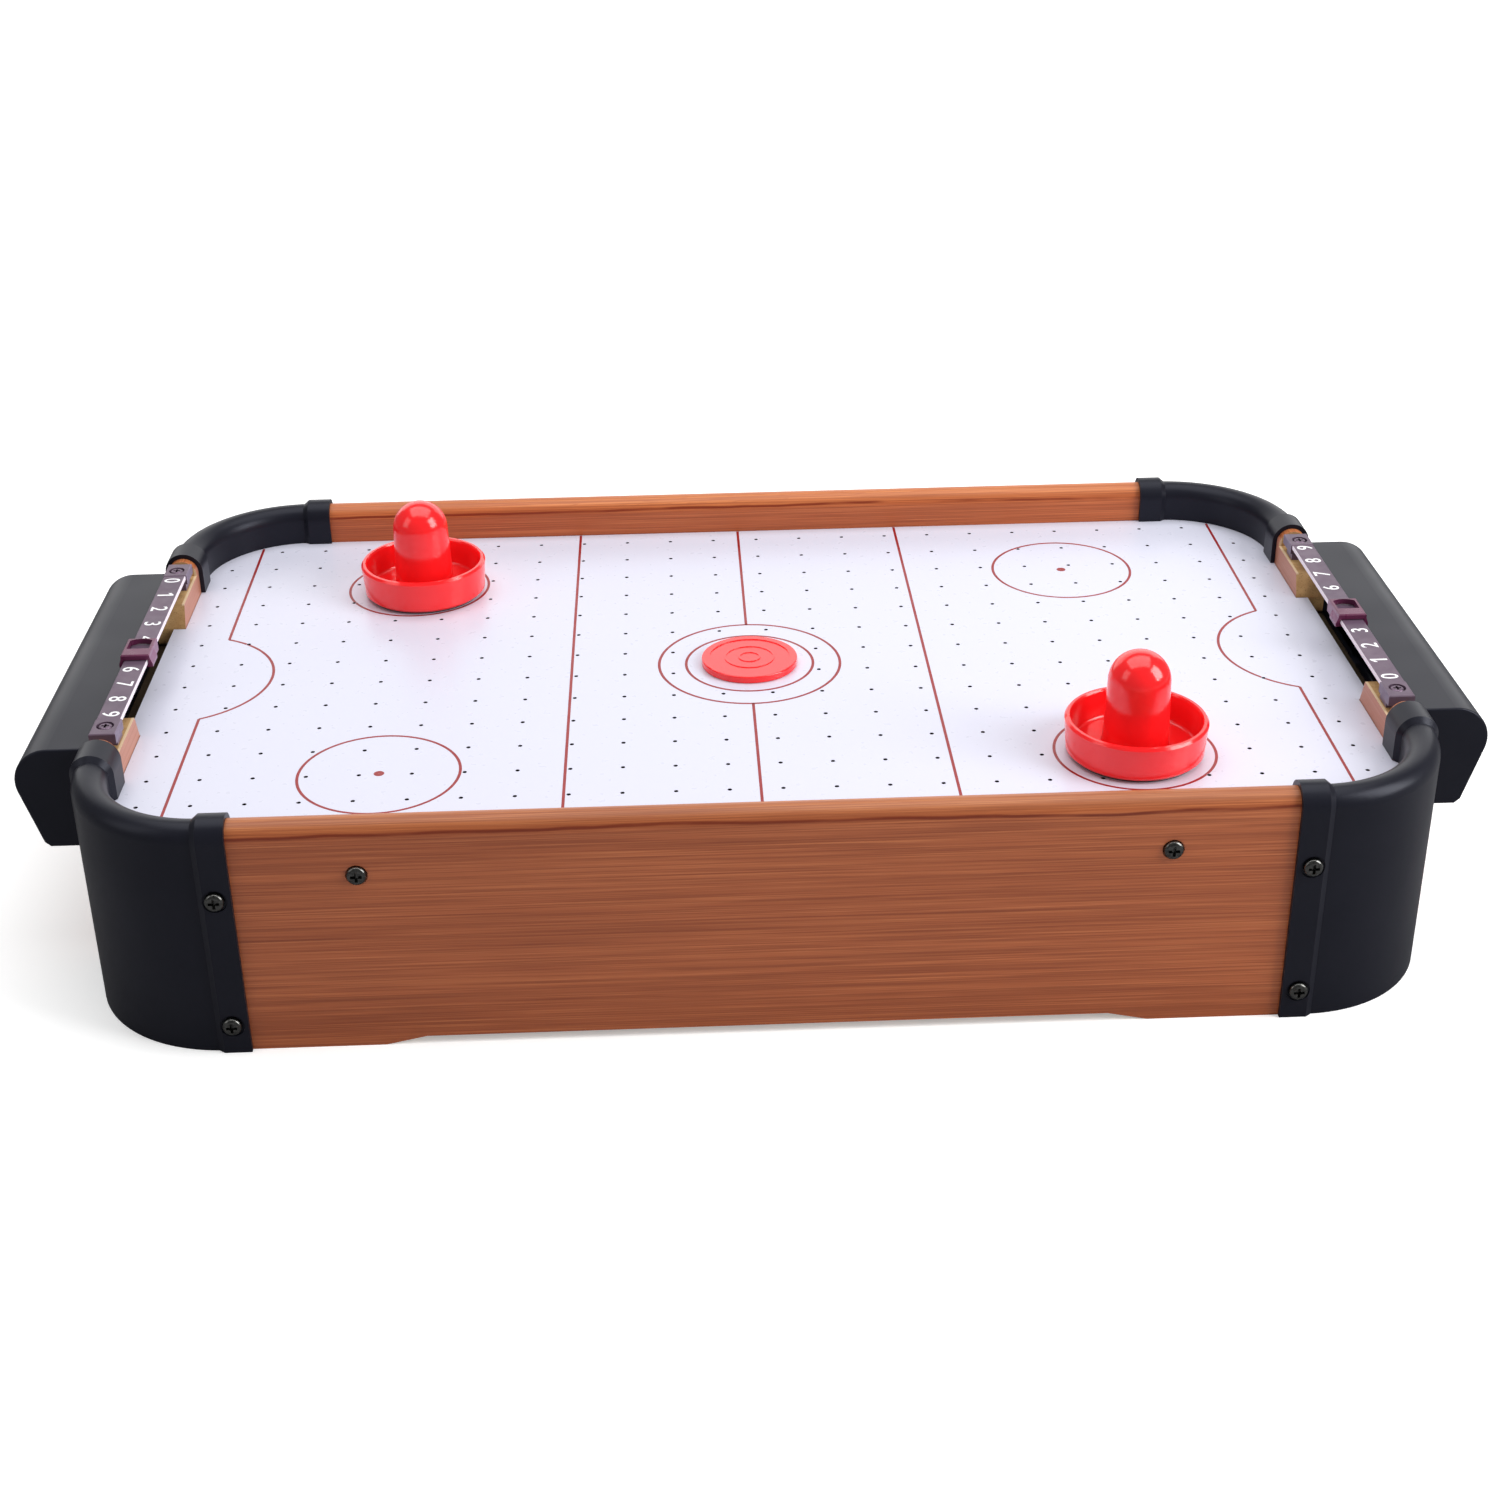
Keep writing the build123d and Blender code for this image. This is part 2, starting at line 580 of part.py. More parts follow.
MALLET_SPOTS = {"left": (-141.1, 82.8), "right": (143.8, -87.9)}
for name, (mx, my) in MALLET_SPOTS.items():
    save("mallet_" + name, mallet(mx, my))
    save("mallet_felt_" + name, felt_pad(mx, my))


# ---------------------------------------------------------------- air chamber under the board
STRIP_W = 10.0
CHAMBER_X = 226.0
CHAMBER_Y = 130.0
FLOOR_TOP = FLOOR_BOTTOM + FLOOR_T
FAN_X = 60.0
FAN_Y = 0.0
FAN_HOLE_R = 39.0
CHAMBER_SCREWS = [(x, sy * (CHAMBER_Y - STRIP_W / 2)) for x in (-210.0, -70.0, 70.0, 210.0) for sy in SIDES]


def chamber_strip_long(side):
    y1 = CHAMBER_Y
    strip = box_between(-CHAMBER_X, CHAMBER_X, side * (y1 - STRIP_W), side * y1, FLOOR_TOP, BOARD_BOTTOM)
    for x, y in CHAMBER_SCREWS:
        if y * side > 0:
            strip -= cylinder_up(x, y, FLOOR_TOP - 1, BOARD_BOTTOM + 1, 1.2 + SCREW_CLEAR)
    return strip


def chamber_strip_short(side):
    y1 = CHAMBER_Y - STRIP_W - FIT
    x0 = side * (CHAMBER_X - STRIP_W)
    x1 = side * CHAMBER_X
    return box_between(x0, x1, -y1, y1, FLOOR_TOP, BOARD_BOTTOM)


save("air_chamber_strip_front", chamber_strip_long(-1))
save("air_chamber_strip_back", chamber_strip_long(1))
save("air_chamber_strip_left", chamber_strip_short(-1))
save("air_chamber_strip_right", chamber_strip_short(1))

chamber_floor = rounded_plate(CHAMBER_X, CHAMBER_Y, 3.0, FLOOR_BOTTOM, FLOOR_TOP)
chamber_floor -= cylinder_up(FAN_X, FAN_Y, FLOOR_BOTTOM - 1, FLOOR_TOP + 1, FAN_HOLE_R)
for x, y in CHAMBER_SCREWS:
    chamber_floor -= cylinder_up(x, y, FLOOR_BOTTOM - 1, FLOOR_TOP + 1, 1.2 + SCREW_CLEAR)
FAN_LUG_R = 50.0
FAN_LUGS = [(FAN_X + FAN_LUG_R * math.cos(math.radians(a)), FAN_Y + FAN_LUG_R * math.sin(math.radians(a)))
            for a in (45, 135, 225, 315)]
BATTERY_X = -70.0
BATTERY_LUG_Y = 36.5
BATTERY_LUGS = [(BATTERY_X, -BATTERY_LUG_Y), (BATTERY_X, BATTERY_LUG_Y)]
for x, y in FAN_LUGS + BATTERY_LUGS:
    chamber_floor -= cylinder_up(x, y, FLOOR_BOTTOM - 1, FLOOR_TOP + 1, 1.2 + SCREW_CLEAR)
save("air_chamber_floor", chamber_floor)

chamber_screw = pan_screw(5.4, 1.8, 2.4, 14.0)
save("air_chamber_screws", *[head_down(x, y, FLOOR_BOTTOM) * chamber_screw for x, y in CHAMBER_SCREWS])


# ---------------------------------------------------------------- wire lanes, shared by the fan and the battery box
WIRE_R = 0.75
WIRE_HOLE_R = 1.05
WIRE_LOW_Z = 48.6
WIRE_HIGH_Z = 50.8
WIRE_LANE_Y = 1.6
WIRE_FAN_Z = 18.7


# ---------------------------------------------------------------- fan
DUCT_R = 43.5
DUCT_BORE = 40.6
DUCT_BOTTOM = 17.0
GUARD_T = 2.6
MOTOR_R = 12.0
MOTOR_BOTTOM = DUCT_BOTTOM
MOTOR_TOP = 40.0
SHAFT_R = 1.0
IMPELLER_BOTTOM = 41.2
IMPELLER_TOP = 50.6
HUB_R = 13.0
BLADES = 7


def at_fan(shape):
    return Pos(FAN_X, FAN_Y, 0) * shape


def fan_duct():
    duct = cylinder_up(0, 0, DUCT_BOTTOM, FLOOR_BOTTOM - FIT, DUCT_R)
    for x, y in FAN_LUGS:
        duct += cylinder_up(x - FAN_X, y - FAN_Y, FLOOR_BOTTOM - 4, FLOOR_BOTTOM - FIT, 5.0)
        arm = Pos((x - FAN_X) * 0.93, (y - FAN_Y) * 0.93, FLOOR_BOTTOM - 2.0 - FIT / 2)
        duct += arm * Rot(0, 0, math.degrees(math.atan2(y - FAN_Y, x - FAN_X))) * Box(9, 8, 4 - FIT)
    duct -= cylinder_up(0, 0, DUCT_BOTTOM - 1, FLOOR_BOTTOM + 1, DUCT_BORE)
    for x, y in FAN_LUGS:
        duct -= cylinder_up(x - FAN_X, y - FAN_Y, FLOOR_BOTTOM - 6, FLOOR_BOTTOM + 1, 1.2 + 0.15)
    for y in (-WIRE_LANE_Y, WIRE_LANE_Y):
        duct -= cylinder_x(y, WIRE_FAN_Z, -DUCT_R - 1, -DUCT_BORE + 1, WIRE_HOLE_R)
    return at_fan(duct)


def fan_guard():
    """Round grille that closes the duct below and holds the motor in its hub."""
    z0 = DUCT_BOTTOM - GUARD_T - FIT
    z1 = DUCT_BOTTOM - FIT
    guard = cylinder_up(0, 0, z0, z1, DUCT_R) - cylinder_up(0, 0, z0 - 1, z1 + 1, DUCT_BORE - 1.5)
    for radius in (19.0, 25.5, 32.0):
        ring = cylinder_up(0, 0, z0, z1, radius + 1.0)
        guard += ring - cylinder_up(0, 0, z0 - 1, z1 + 1, radius - 1.0)
    for k in range(6):
        spoke = box_between(12.0, DUCT_BORE, -1.2, 1.2, z0, z1)
        guard += Rot(0, 0, 60 * k) * spoke
    hub = cylinder_up(0, 0, z0, z1, MOTOR_R + 2.2)
    guard += hub
    collar = cylinder_up(0, 0, z1 - 0.1, z1 + 9.0, MOTOR_R + 2.2)
    collar -= cylinder_up(0, 0, z1, z1 + 10, MOTOR_R + 0.05)
    guard += collar
    for y in (-6.0, 6.0):
        guard -= cylinder_up(0, y, z0 - 1, z1 + 1, 1.6)
    tongue = cylinder_up(0, 0, z1 - 0.1, z1 + 3.0, DUCT_BORE - 0.1) - cylinder_up(0, 0, z1 - 1, z1 + 4, DUCT_BORE - 1.5)
    guard += tongue
    # the two wires pass through the tongue and the motor collar
    guard -= box_between(-DUCT_BORE - 1, -DUCT_BORE + 3, -3.4, 3.4, z1, z1 + 4)
    guard -= box_between(-MOTOR_R - 3, -MOTOR_R + 3, -3.4, 3.4, z1, z1 + 10)
    return at_fan(guard)


def motor():
    can = cylinder_up(0, 0, MOTOR_BOTTOM + FIT, MOTOR_TOP - 1.6, MOTOR_R)
    can = fillet(can.edges().filter_by(GeomType.CIRCLE).sort_by(Axis.Z)[-1], 1.2)
    can += cylinder_up(0, 0, MOTOR_TOP - 1.7, MOTOR_TOP, 3.2)
    can -= cylinder_up(0, 0, MOTOR_BOTTOM + 4, MOTOR_TOP + 1, SHAFT_R + 0.05)
    return at_fan(can)


def motor_shaft():
    return at_fan(cylinder_up(0, 0, MOTOR_BOTTOM + 6, IMPELLER_TOP - 1.5, SHAFT_R))


def impeller():
    """Closed hub with pitched blades."""
    hub = cylinder_up(0, 0, IMPELLER_BOTTOM, IMPELLER_TOP, HUB_R)
    hub = fillet(hub.edges().filter_by(GeomType.CIRCLE).sort_by(Axis.Z)[-1], 2.0)
    wheel = hub
    blade_mid = (IMPELLER_BOTTOM + IMPELLER_TOP) / 2
    for k in range(BLADES):
        blade = Pos(0, 0, blade_mid) * Pos(25.2, 0, 0) * Rot(32, 0, 0) * Box(27.6, 15.0, 1.3)
        blade &= cylinder_up(0, 0, IMPELLER_BOTTOM, IMPELLER_TOP, 39.0)
        wheel += Rot(0, 0, 360 / BLADES * k) * blade
    wheel -= cylinder_up(0, 0, IMPELLER_BOTTOM - 1, IMPELLER_TOP - 1.5, SHAFT_R)
    return at_fan(wheel)


save("fan_duct", fan_duct())
save("fan_guard", fan_guard())
save("fan_motor", motor())
save("fan_shaft", motor_shaft())
save("fan_impeller", impeller())

fan_screw = pan_screw(5.4, 1.8, 2.4, 7.6)
save("fan_screws", *[head_down(x, y, FLOOR_BOTTOM - 4) * fan_screw for x, y in FAN_LUGS])


# ---------------------------------------------------------------- battery box, cells, door and switch
CELL_R = 7.1
CELL_LEN = 49.5
CELLS = 4
CELL_PITCH = 15.0
BATTERY_HALF_X = CELLS * CELL_PITCH / 2 + 2.4
BATTERY_HALF_Y = 31.0
BATTERY_TOP = FLOOR_BOTTOM - FIT
BATTERY_BOTTOM = BATTERY_TOP - 21.2
BATTERY_WALL = 1.8
SWITCH_BAY = 16.0
DOOR_T = 1.8
DOOR_HALF_Y = 29.6
CELL_Z = BATTERY_TOP - 2.2 - CELL_R


def battery_box():
    """Tray for four cells side by side, open below, with a bay for the switch at its right end."""
    x0 = BATTERY_X - BATTERY_HALF_X
    x1 = BATTERY_X + BATTERY_HALF_X + SWITCH_BAY
    tray = box_between(x0, x1, -BATTERY_HALF_Y, BATTERY_HALF_Y, BATTERY_BOTTOM, BATTERY_TOP)
    tray = fillet(tray.edges().filter_by(Axis.Z), 3.0)
    bay = x1 - SWITCH_BAY
    tray -= box_between(x0 + BATTERY_WALL, bay - BATTERY_WALL, -BATTERY_HALF_Y + 3.4, BATTERY_HALF_Y - 3.4,
                        BATTERY_BOTTOM - 1, BATTERY_TOP - BATTERY_WALL)
    # rails for the door, open to the left
    tray -= box_between(x0 - 1, bay - BATTERY_WALL, -DOOR_HALF_Y - 0.15, DOOR_HALF_Y + 0.15,
                        BATTERY_BOTTOM + 1.6, BATTERY_BOTTOM + 1.6 + DOOR_T + 0.3)
    tray -= box_between(x0 - 1, bay - BATTERY_WALL, -DOOR_HALF_Y + 1.2, DOOR_HALF_Y - 1.2,
                        BATTERY_BOTTOM - 1, BATTERY_BOTTOM + 1.7)
    # switch bay
    tray -= box_between(bay, x1 - BATTERY_WALL, -BATTERY_HALF_Y + 3.4, BATTERY_HALF_Y - 3.4,
                        BATTERY_BOTTOM + BATTERY_WALL, BATTERY_TOP + 1)
    tray -= box_between(bay + 5.4, bay + 8.8, -4.4, 4.2, BATTERY_BOTTOM - 1, BATTERY_BOTTOM + BATTERY_WALL + 1)
    # wire passages between the cell space, the bay and the outside
    for y, z in ((-20.0, WIRE_LOW_Z), (20.0, WIRE_HIGH_Z)):
        tray -= cylinder_x(y, z, bay - BATTERY_WALL - 1, bay + 1, WIRE_HOLE_R)
    for y, z in ((-WIRE_LANE_Y, WIRE_LOW_Z), (WIRE_LANE_Y, WIRE_HIGH_Z)):
        tray -= cylinder_x(y, z, x1 - BATTERY_WALL - 1, x1 + 1, WIRE_HOLE_R)
    for s in SIDES:
        lug = box_between(BATTERY_X - 5, BATTERY_X + 5, s * (BATTERY_HALF_Y - 1), s * (BATTERY_LUG_Y + 4.5),
                          BATTERY_TOP - 2.6, BATTERY_TOP)
        tray += lug
        tray -= cylinder_up(BATTERY_X, s * BATTERY_LUG_Y, BATTERY_TOP - 4, BATTERY_TOP + 1, 1.2 + 0.15)
    return tray


save("battery_box", battery_box())

battery_screw = pan_screw(5.4, 1.8, 2.4, 5.4)
save("battery_box_screws", *[head_down(x, y, BATTERY_TOP - 2.6) * battery_screw for x, y in BATTERY_LUGS])

door_x0 = BATTERY_X - BATTERY_HALF_X + 0.3
door_x1 = BATTERY_X + BATTERY_HALF_X - BATTERY_WALL - 0.3
door_z0 = BATTERY_BOTTOM + 1.6 + 0.15
door = box_between(door_x0, door_x1, -DOOR_HALF_Y, DOOR_HALF_Y, door_z0, door_z0 + DOOR_T)
for k in range(5):
    ridge_x = door_x0 + 5 + 2.4 * k
    door += box_between(ridge_x, ridge_x + 1.1, -11, 11, door_z0 - 0.8, door_z0 + 0.1)
save("battery_door", door)


def cell(index):
    """One cell; every second one is turned round."""
    x = BATTERY_X + (index - (CELLS - 1) / 2) * CELL_PITCH
    turn = 1 if index % 2 == 0 else -1
    half = CELL_LEN / 2
    can = cylinder_y(x, CELL_Z, -half, half - 1.0, CELL_R)
    can = fillet(can.edges().filter_by(GeomType.CIRCLE), 0.6)
    can += cylinder_y(x, CELL_Z, half - 1.1, half, 2.6)
    if turn < 0:
        can = Pos(x, 0, 0) * Rot(0, 0, 180) * Pos(-x, 0, 0) * can
    return can


save("batteries", *[cell(k) for k in range(CELLS)])


PLATE_Y = BATTERY_HALF_Y - 3.45
PLATE_T = 0.5
FIRST_X = BATTERY_X - 1.5 * CELL_PITCH


def contact_plate(first, last, side, top):
    """Sheet contact that joins the cells first..last, with a pressed bump for each."""
    x0 = FIRST_X + first * CELL_PITCH - 5.0
    x1 = FIRST_X + last * CELL_PITCH + 5.0
    face = side * (PLATE_Y - PLATE_T)
    plate = box_between(x0, x1, side * PLATE_Y, face, CELL_Z - 5.0, top)
    for index in range(first, last + 1):
        x = FIRST_X + index * CELL_PITCH
        bump = Pos(x, face, CELL_Z) * Rot(90 * side, 0, 0) * Pos(0, 0, 1.0) * Cone(2.5, 1.2, 2.2)
        plate += bump
    return plate


plates = [
    contact_plate(0, 1, 1, CELL_Z + 5.0),
    contact_plate(2, 3, 1, CELL_Z + 5.0),
    contact_plate(0, 0, -1, CELL_Z + 7.0),
    contact_plate(1, 2, -1, CELL_Z + 5.0),
    contact_plate(3, 3, -1, CELL_Z + 5.0),
]
save("battery_contacts", *plates)

bay_x0 = BATTERY_X + BATTERY_HALF_X
SWITCH_X = bay_x0 + 7.1
SWITCH_Z0 = BATTERY_BOTTOM + BATTERY_WALL + 0.05
switch_case = box_between(SWITCH_X - 4.0, SWITCH_X + 4.0, -9.5, 9.5, SWITCH_Z0, SWITCH_Z0 + 6.0)
switch_case -= box_between(SWITCH_X - 2.3, SWITCH_X + 2.3, -4.8, 4.8, SWITCH_Z0 - 1, SWITCH_Z0 + 3.2)
for y in (-5.0, 0.0, 5.0):
    switch_case += box_between(SWITCH_X - 0.25, SWITCH_X + 0.25, y - 0.8, y + 0.8, SWITCH_Z0 + 5.9, SWITCH_Z0 + 9.0)
save("switch_case", switch_case)

SWITCH_THROW = 4.0
knob = box_between(SWITCH_X - 2.1, SWITCH_X + 2.1, -4.6, 0.4, SWITCH_Z0 + 0.2, SWITCH_Z0 + 3.0)
knob += box_between(SWITCH_X - 1.5, SWITCH_X + 1.5, -4.2, 0.0, BATTERY_BOTTOM - 1.6, SWITCH_Z0 + 0.3)
for k in range(3):
    groove = -3.5 + 1.1 * k
    knob -= box_between(SWITCH_X - 3, SWITCH_X + 3, groove, groove + 0.5, BATTERY_BOTTOM - 2, BATTERY_BOTTOM - 1.1)
save("switch_knob", knob)


# ---------------------------------------------------------------- wires


def wire(*points):
    """Insulated wire: straight runs joined by tangent arcs."""
    path = FilletPolyline(*points, radius=1.8)
    start = Plane(path @ 0, z_dir=path % 0)
    return sweep(start * Circle(WIRE_R), path=path)


solder_y = -PLATE_Y + PLATE_T + WIRE_R + 0.1
lane_x = bay_x0 - BATTERY_WALL - 1.2
tab_top = SWITCH_Z0 + 6.9
drop_x = 10.0
motor_side = FAN_X - MOTOR_R - 0.05

save("wire_red_battery", wire(
    (FIRST_X + CELL_PITCH * 3 + 1.5, solder_y, WIRE_LOW_Z),
    (lane_x, solder_y, WIRE_LOW_Z),
    (lane_x, -20.0, WIRE_LOW_Z),
    (SWITCH_X, -20.0, WIRE_LOW_Z),
    (SWITCH_X, -6.6, WIRE_LOW_Z),
    (SWITCH_X, -6.6, tab_top),
))
save("wire_red_motor", wire(
    (SWITCH_X, -WIRE_LANE_Y, tab_top),
    (SWITCH_X, -WIRE_LANE_Y, WIRE_LOW_Z),
    (drop_x, -WIRE_LANE_Y, WIRE_LOW_Z),
    (drop_x, -WIRE_LANE_Y, WIRE_FAN_Z),
    (motor_side, -WIRE_LANE_Y, WIRE_FAN_Z),
))
save("wire_black", wire(
    (FIRST_X - 1.5, solder_y, WIRE_HIGH_Z),
    (lane_x, solder_y, WIRE_HIGH_Z),
    (lane_x, 20.0, WIRE_HIGH_Z),
    (SWITCH_X + 4.5, 20.0, WIRE_HIGH_Z),
    (SWITCH_X + 4.5, WIRE_LANE_Y, WIRE_HIGH_Z),
    (drop_x, WIRE_LANE_Y, WIRE_HIGH_Z),
    (drop_x, WIRE_LANE_Y, WIRE_FAN_Z),
    (motor_side, WIRE_LANE_Y, WIRE_FAN_Z),
))
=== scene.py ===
import bpy, bmesh, math
from mathutils import Matrix, Vector


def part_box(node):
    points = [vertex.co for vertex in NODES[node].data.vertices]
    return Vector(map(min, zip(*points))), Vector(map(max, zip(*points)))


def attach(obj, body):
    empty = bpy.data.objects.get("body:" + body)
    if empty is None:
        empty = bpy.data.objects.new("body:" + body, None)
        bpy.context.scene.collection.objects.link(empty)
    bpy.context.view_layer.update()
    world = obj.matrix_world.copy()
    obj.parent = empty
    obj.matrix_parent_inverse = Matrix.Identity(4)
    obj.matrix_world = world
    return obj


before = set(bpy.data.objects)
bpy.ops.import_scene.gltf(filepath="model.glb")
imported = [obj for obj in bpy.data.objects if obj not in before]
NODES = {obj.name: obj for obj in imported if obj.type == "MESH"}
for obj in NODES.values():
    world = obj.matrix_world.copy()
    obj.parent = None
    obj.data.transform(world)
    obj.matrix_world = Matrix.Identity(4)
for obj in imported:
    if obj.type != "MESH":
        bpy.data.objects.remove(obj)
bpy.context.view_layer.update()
MM = 0.001

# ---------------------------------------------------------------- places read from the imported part
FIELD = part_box("playing_board")[1].z     # height of the playing surface
RAIL_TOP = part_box("side_panel_front")[1].z
INNER_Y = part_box("side_panel_back")[0].y
INNER_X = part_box("end_panel_right")[0].x
BOARD_REACH = (240.0 * MM, 141.0 * MM)   # half size of the board inside the panels
SHELF = FIELD + 9.8 * MM                 # notch in the end panels under the score bars
SCORE_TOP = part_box("score_bar_right")[1].z
# on the score bars, and on the sliders' grips, what faces the field lies closer in than this; painted light
# on those field sides stops here
BAR_SIDE_X = 243.5 * MM
SLIDER_SIDE_X = 241.9 * MM
BLOCK_START_Y = 68.1 * MM                # the end blocks of a score bar begin here
CUP_INNER_R = 24.9 * MM                  # inner radius and rim height of a mallet's cup
CUP_RIM = FIELD + 15.0 * MM


def colour(red, green, blue):
    """Linear colour from 0 to 255 display values."""
    out = []
    for value in (red, green, blue):
        c = value / 255
        out.append(c / 12.92 if c <= 0.04045 else ((c + 0.055) / 1.055) ** 2.4)
    return (*out, 1.0)


# ---------------------------------------------------------------- node helpers
class Look:
    """One Principled material with a few short calls for building its nodes."""

    def __init__(self, name, **fixed):
        self.material = bpy.data.materials.new(name)
        self.material.use_nodes = True
        self.tree = self.material.node_tree
        self.shader = self.tree.nodes["Principled BSDF"]
        for socket, value in fixed.items():
            self.shader.inputs[socket.replace("_", " ")].default_value = value
        coordinates = self.tree.nodes.new("ShaderNodeTexCoord")
        self.place = coordinates.outputs["Object"]
        self.normal = coordinates.outputs["Normal"]
        self.axes = None

    def put(self, socket, value):
        if isinstance(value, bpy.types.NodeSocket):
            self.tree.links.new(value, socket)
        else:
            socket.default_value = value

    def node(self, kind, **settings):
        made = self.tree.nodes.new("ShaderNode" + kind)
        for name, value in settings.items():
            setattr(made, name, value)
        return made

    def math(self, operation, a, b=0.0, clamp=False):
        made = self.node("Math", operation=operation, use_clamp=clamp)
        self.put(made.inputs[0], a)
        self.put(made.inputs[1], b)
        return made.outputs[0]

    def xyz(self):
        """The three object coordinates as single numbers."""
        if self.axes is None:
            split = self.node("SeparateXYZ")
            self.put(split.inputs[0], self.place)
            self.axes = split.outputs[:]
        return self.axes

    def stretched(self, scale, move=(0, 0, 0)):
        made = self.node("Mapping")
        self.put(made.inputs["Vector"], self.place)
        made.inputs["Scale"].default_value = scale
        made.inputs["Location"].default_value = move
        return made.outputs[0]

    def noise(self, scale, move=(0, 0, 0), detail=3.0, rough=0.55, twist=0.0):
        made = self.node("TexNoise")
        self.put(made.inputs["Vector"], self.stretched(scale, move))
        made.inputs["Scale"].default_value = 1.0
        made.inputs["Detail"].default_value = detail
        made.inputs["Roughness"].default_value = rough
        made.inputs["Distortion"].default_value = twist
        return made.outputs["Fac"]

    def cells(self, scale, feature="F1"):
        made = self.node("TexVoronoi", feature=feature)
        self.put(made.inputs["Vector"], self.stretched(scale))
        made.inputs["Scale"].default_value = 1.0
        return made.outputs["Distance"]

    def between(self, value, low, high, out_low=0.0, out_high=1.0):
        made = self.node("MapRange", clamp=True, interpolation_type="SMOOTHSTEP")
        self.put(made.inputs["Value"], value)
        made.inputs["From Min"].default_value = low
        made.inputs["From Max"].default_value = high
        made.inputs["To Min"].default_value = out_low
        made.inputs["To Max"].default_value = out_high
        return made.outputs["Result"]

    def mix(self, share, a, b, blend="MIX"):
        made = self.node("Mix", data_type="RGBA", blend_type=blend)
        self.put(made.inputs[0], share)
        self.put(made.inputs[6], a)
        self.put(made.inputs[7], b)
        return made.outputs[2]

    def ramp(self, value, *stops):
        made = self.node("ValToRGB")
        self.put(made.inputs["Fac"], value)
        elements = made.color_ramp.elements
        while len(elements) < len(stops):
            elements.new(0.5)
        for element, (position, shade) in zip(elements, stops):
            element.position = position
            element.color = shade
        return made.outputs["Color"]

    def bump(self, height, depth, strength=1.0):
        made = self.node("Bump")
        made.inputs["Strength"].default_value = strength
        made.inputs["Distance"].default_value = depth
        self.put(made.inputs["Height"], height)
        self.put(self.shader.inputs["Normal"], made.outputs["Normal"])

    def base(self, value):
        self.put(self.shader.inputs["Base Color"], value)

    def rough(self, value):
        self.put(self.shader.inputs["Roughness"], value)


# ---------------------------------------------------------------- materials
def facing(look):
    """Components of the surface direction."""
    split = look.node("SeparateXYZ")
    look.put(split.inputs[0], look.node("NewGeometry").outputs["True Normal"])
    return split.outputs[:]


def fibre(look):
    """Raw fibreboard: tan ground with short fibres and specks."""
    speck = look.noise((1500, 1500, 1500), detail=3, rough=0.7)
    cloud = look.noise((160, 160, 160), (3, 1, 2), detail=2)
    tan = look.ramp(cloud, (0.3, colour(176, 134, 84)), (0.7, colour(205, 165, 112)))
    return look.mix(look.between(speck, 0.5, 0.72, 0, 0.55), tan, colour(124, 86, 48))


def grained(look, along):
    """Cherry foil: fine streaks along the panel, broader tone bands and a few dark grain lines, with painted
    light and shade: upright faces darker, most of all at the left, and a paler top.

    Returns the colour and a height for bump and gloss.
    """
    def streaks(length, cross, move=(0, 0, 0), **more):
        scale = (length, cross, cross) if along == "x" else (cross, length, cross)
        return look.noise(scale, move, **more)

    fine = streaks(15, 2300, detail=2, rough=0.6)
    dash = streaks(8, 1400, (3, 7, 1), detail=2, rough=0.6)
    broad = streaks(2.4, 60, (5, 2, 8), detail=2)
    line = streaks(4.0, 420, (1, 9, 4), detail=2, twist=0.2)
    tone = look.ramp(broad, (0.30, colour(178, 101, 64)), (0.52, colour(185, 107, 69)),
                     (0.72, colour(192, 114, 74)))
    # each layer: streaks, where they begin and are full, their share, their colour
    layers = (
        (fine, 0.46, 0.62, 0.46, colour(132, 66, 40)),
        (fine, 0.43, 0.30, 0.40, colour(222, 146, 100)),
        (dash, 0.53, 0.62, 0.32, colour(132, 64, 38)),
        (dash, 0.43, 0.34, 0.28, colour(216, 140, 95)),
        (line, 0.62, 0.69, 0.22, colour(124, 58, 34)),
    )
    for streak, begin, full, share, shade in layers:
        tone = look.mix(look.math("MULTIPLY", look.between(streak, begin, full), share), tone, shade)
    height = look.math("ADD", look.math("MULTIPLY", fine, 0.6), dash)
    # painted light and shade: the upright faces are painted deeper and redder than the rounded top, darkest
    # at the left, and the top is painted paler, for how the light falls
    upward = look.between(facing(look)[2], 0.25, 0.85)
    to_right = look.between(look.xyz()[0], -0.3, 0.3)
    upright = look.mix(to_right, (0.79, 0.66, 0.53, 1), (0.92, 0.79, 0.62, 1))
    painted_light_tint = look.mix(upward, upright, (0.94, 0.98, 0.80, 1))
    return look.mix(1.0, tone, painted_light_tint, "MULTIPLY"), height


